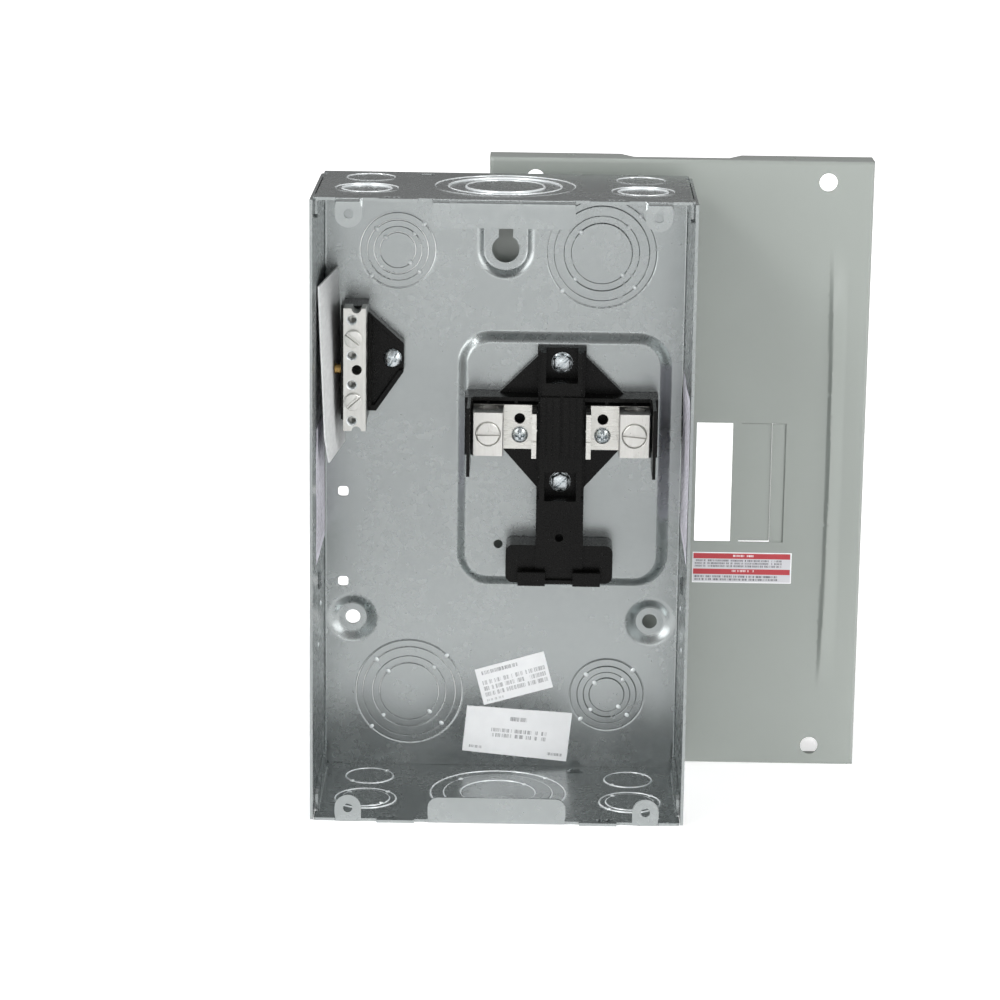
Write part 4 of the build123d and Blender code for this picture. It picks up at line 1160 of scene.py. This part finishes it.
def sheet_metal():
    stand_in(mesh_piece("enclosure_wrap_sheet", *box_wrap()), "enclosure_wrap")
    points, faces, normals = end_wall()
    stand_in(mesh_piece("end_wall_bottom_sheet", points, faces, normals), "end_wall_bottom")
    upside_down = normals * np.array((-1, 1, -1))
    stand_in(mesh_piece("end_wall_top_sheet", turned_over(points), faces, upside_down), "end_wall_top")
    stand_in(mesh_piece("cover_panel", *cover_panel()), "cover")


def lip_set(radii, place, around=96, section=12):
    """Rounded lips, proud of both faces, along the shear gaps of one nest of knockouts."""
    parts = []
    for radius in radii:
        points = []
        for i in range(around):
            a = 2 * pi * i / around
            for j in range(section):
                b = 2 * pi * j / section
                r = radius + LIP_WIDE * cos(b)
                points.append((r * cos(a), r * sin(a), (SHEET / 2 + LIP_PROUD) * sin(b) - SHEET / 2))
        parts.append((points, ring_faces(around, section, True)))
    points, faces = merge(parts)
    return place(np.array(points)), faces


def knockout_node(node, nests, edge):
    """Rings and ties of one knockout node, and lips where its edges are round. nests = [(radii, place)]."""
    rings = merge([knockout_set(radii, place, edge) for radii, place in nests])
    stand_in(mesh_piece(node + "_rings", *rings), node)
    # Ties and lips wear the pale metal as a painted highlight along the knockouts' rings.
    highlight_parts = [tie_set(radii, place) for radii, place in nests]
    if edge == ROUND_EDGE:
        highlight_parts += [lip_set(radii, place) for radii, place in nests]
    ties = mesh_piece(node + "_ties", *merge(highlight_parts))
    ties.data.materials.append(TORN_ZINC_AND_HIGHLIGHT)
    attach(ties, BODY_OF[node])


def knockouts():
    for node, radii in BACK_RINGS.items():
        knockout_node(node, [(radii, on_back(*ring_centre(node)))], CRISP_EDGE)
    for side, sign in (("left", -1), ("right", 1)):
        knockout_node(f"knockout_side_{side}", [([SIDE_KO_R], on_side(sign))], CRISP_EDGE)
    for end, place in (("bottom", on_floor), ("top", on_roof)):
        knockout_node(f"knockout_{end}_centre", [(CENTRE_RINGS, place(0, BOX_MID_Y))], ROUND_EDGE)
        small = [(radii, place(x, y)) for x, y, radii in END_SMALL]
        knockout_node(f"knockouts_{end}_small", small, ROUND_EDGE)


# Rounding of each CAD shape's edges, in millimetres.
EDGE_WIDTH = {
    "interior_base": 0.35, "neutral_insulator": 0.4, "neutral_bar": 0.3, "bus_left": 0.3, "bus_right": 0.3,
    "lug_left": 0.3, "lug_right": 0.3, "lug_screw_left": 0.2, "lug_screw_right": 0.2,
    "bonding_screw": 0.1, "fibre_sheet": 0.15,
}
# Window parts: (left lap, right lap, gap below, gap above), (depths at the left and right edges).
WINDOW_PARTS = {
    "twistout_flap": ((0.3, 0.8, 0.55, 0.3), (0.4, 0.9)),
    "twistout_strip_left": ((0.4, 0.0, -0.4, -0.2), (0.5, 0.5)),
    "twistout_strip_right": ((0.0, 0.4, -0.4, 0.3), (0.3, 0.9)),
}


def finished_nodes():
    for node, width in EDGE_WIDTH.items():
        stand_in(finished(node, width), node)
    for node, (grow, sink) in WINDOW_PARTS.items():
        stand_in(mesh_piece(node + "_sheet", *window_part(node, grow, sink)), node)


# ---------------------------------------------------------------- stage, light and camera
def floor_material():
    """Pale floor with a glow of its own far in front and from the object backwards, so that it looks even."""
    s = Shader("floor_white", (0.86, 0.86, 0.86), 0.7)
    y = s.add("SeparateXYZ", {"Vector": s.coords()}).outputs["Y"]
    front = s.spread(y, -1.3, -0.5, FLOOR_GLOW[0], 0.0)
    near = s.spread(y, -0.38, -0.22, 0.0, FLOOR_GLOW[1])
    far = s.spread(y, -0.22, 1.4, 0.0, FLOOR_GLOW[2])
    glow = s.math("ADD", s.math("ADD", front, near), far)
    color = s.mix(s.noise(3.0, 2.0), (0.86, 0.86, 0.86), (0.85, 0.85, 0.85))
    return s.drive(Base_Color=color, Emission_Color=(1, 1, 1, 1), Emission_Strength=glow)


FLOOR_HALF = 12.0
FLOOR_GLOW = (0.35, 0.37, 0.6)


def stage():
    mesh = bpy.data.meshes.new("floor")
    h = FLOOR_HALF
    mesh.from_pydata([(-h, -h, 0), (h, -h, 0), (h, h, 0), (-h, h, 0)], [], [(0, 1, 2, 3)])
    mesh.materials.append(floor_material())
    floor = linked("floor", mesh)


def area_light(name, location, target, size, watts, spread_deg=180.0):
    data = bpy.data.lights.new(name, "AREA")
    data.shape = "RECTANGLE"
    data.size, data.size_y = size
    data.energy = watts
    data.spread = radians(spread_deg)
    light = linked(name, data)
    light.location = location
    light.rotation_euler = (Vector(target) - Vector(location)).to_track_quat("-Z", "Y").to_euler()


SKY_FRONT, SKY_REAR, SKY_UP = 0.5, 0.22, 0.5


def studio_air():
    """Soft surround, brighter on the viewer's side than behind and above the object."""
    world = bpy.data.worlds.new("studio")
    world.use_nodes = True
    sky = Nodes(world.node_tree)
    towards = sky.add("SeparateXYZ", {"Vector": sky.add("TexCoord").outputs["Generated"]}).outputs
    level = sky.spread(towards["Y"], -0.8, 0.5, SKY_FRONT, SKY_REAR)
    strength = sky.math("MULTIPLY", level, sky.spread(towards["Z"], 0.2, 0.9, 1.0, SKY_UP))
    sky.set(sky.tree.nodes["Background"], {"Color": (1, 1, 1, 1), "Strength": strength})
    bpy.context.scene.world = world


def lights():
    studio_air()
    aim = (0.0, 0.0, 0.12)
    area_light("over", (0.03, -1.3, 2.5), (0.03, 0, 0.15), (1.8, 0.7), 4.0)
    area_light("front", (0.0, -2.7, 0.28), aim, (1.4, 0.4), 3.5)
    for name, side, key, strip in (("left", -1, 5.6, 8.5), ("right", 1, 5.0, 6.5)):
        area_light("key_" + name, (side * 1.9, -1.9, 2.3), aim, (1.0, 1.0), key, 60)
        area_light("strip_" + name, (side * 1.15, -1.65, 0.5), aim, (0.85, 1.0), strip)
        area_light("side_" + name, (side * 2.0, -0.7, 0.5), aim, (0.5, 1.0), 6)
    area_light("top", (0.0, 0.5, 2.3), aim, (0.8, 0.7), 5)
    area_light("rear", (0.0, 2.2, 1.7), aim, (2.0, 0.8), 5)


CAM_AT = (0.01855, -1.48985, 0.50619)
CAM_PITCH, CAM_YAW, CAM_ROLL = 13.763, -0.740, 0.7135
CAM_LENS = 121.36


def camera():
    data = bpy.data.cameras.new("camera")
    data.lens, data.sensor_width = CAM_LENS, 36.0
    data.dof.use_dof = False
    cam = linked("camera", data)
    turn = Matrix.Rotation(radians(CAM_ROLL), 3, "Y") @ Matrix.Rotation(radians(CAM_PITCH), 3, "X")
    turn = turn @ Matrix.Rotation(radians(CAM_YAW), 3, "Z")
    right, forward, up = turn
    cam.matrix_world = Matrix.LocRotScale(Vector(CAM_AT), Matrix((right, up, -forward)).transposed(), None)
    bpy.context.scene.camera = cam


sheet_metal()
knockouts()
labels()
thread_rings()
bus_screws()
base_screws()
neutral_screws()
finished_nodes()
stage()
lights()
camera()
bpy.context.scene.view_settings.view_transform = "Standard"
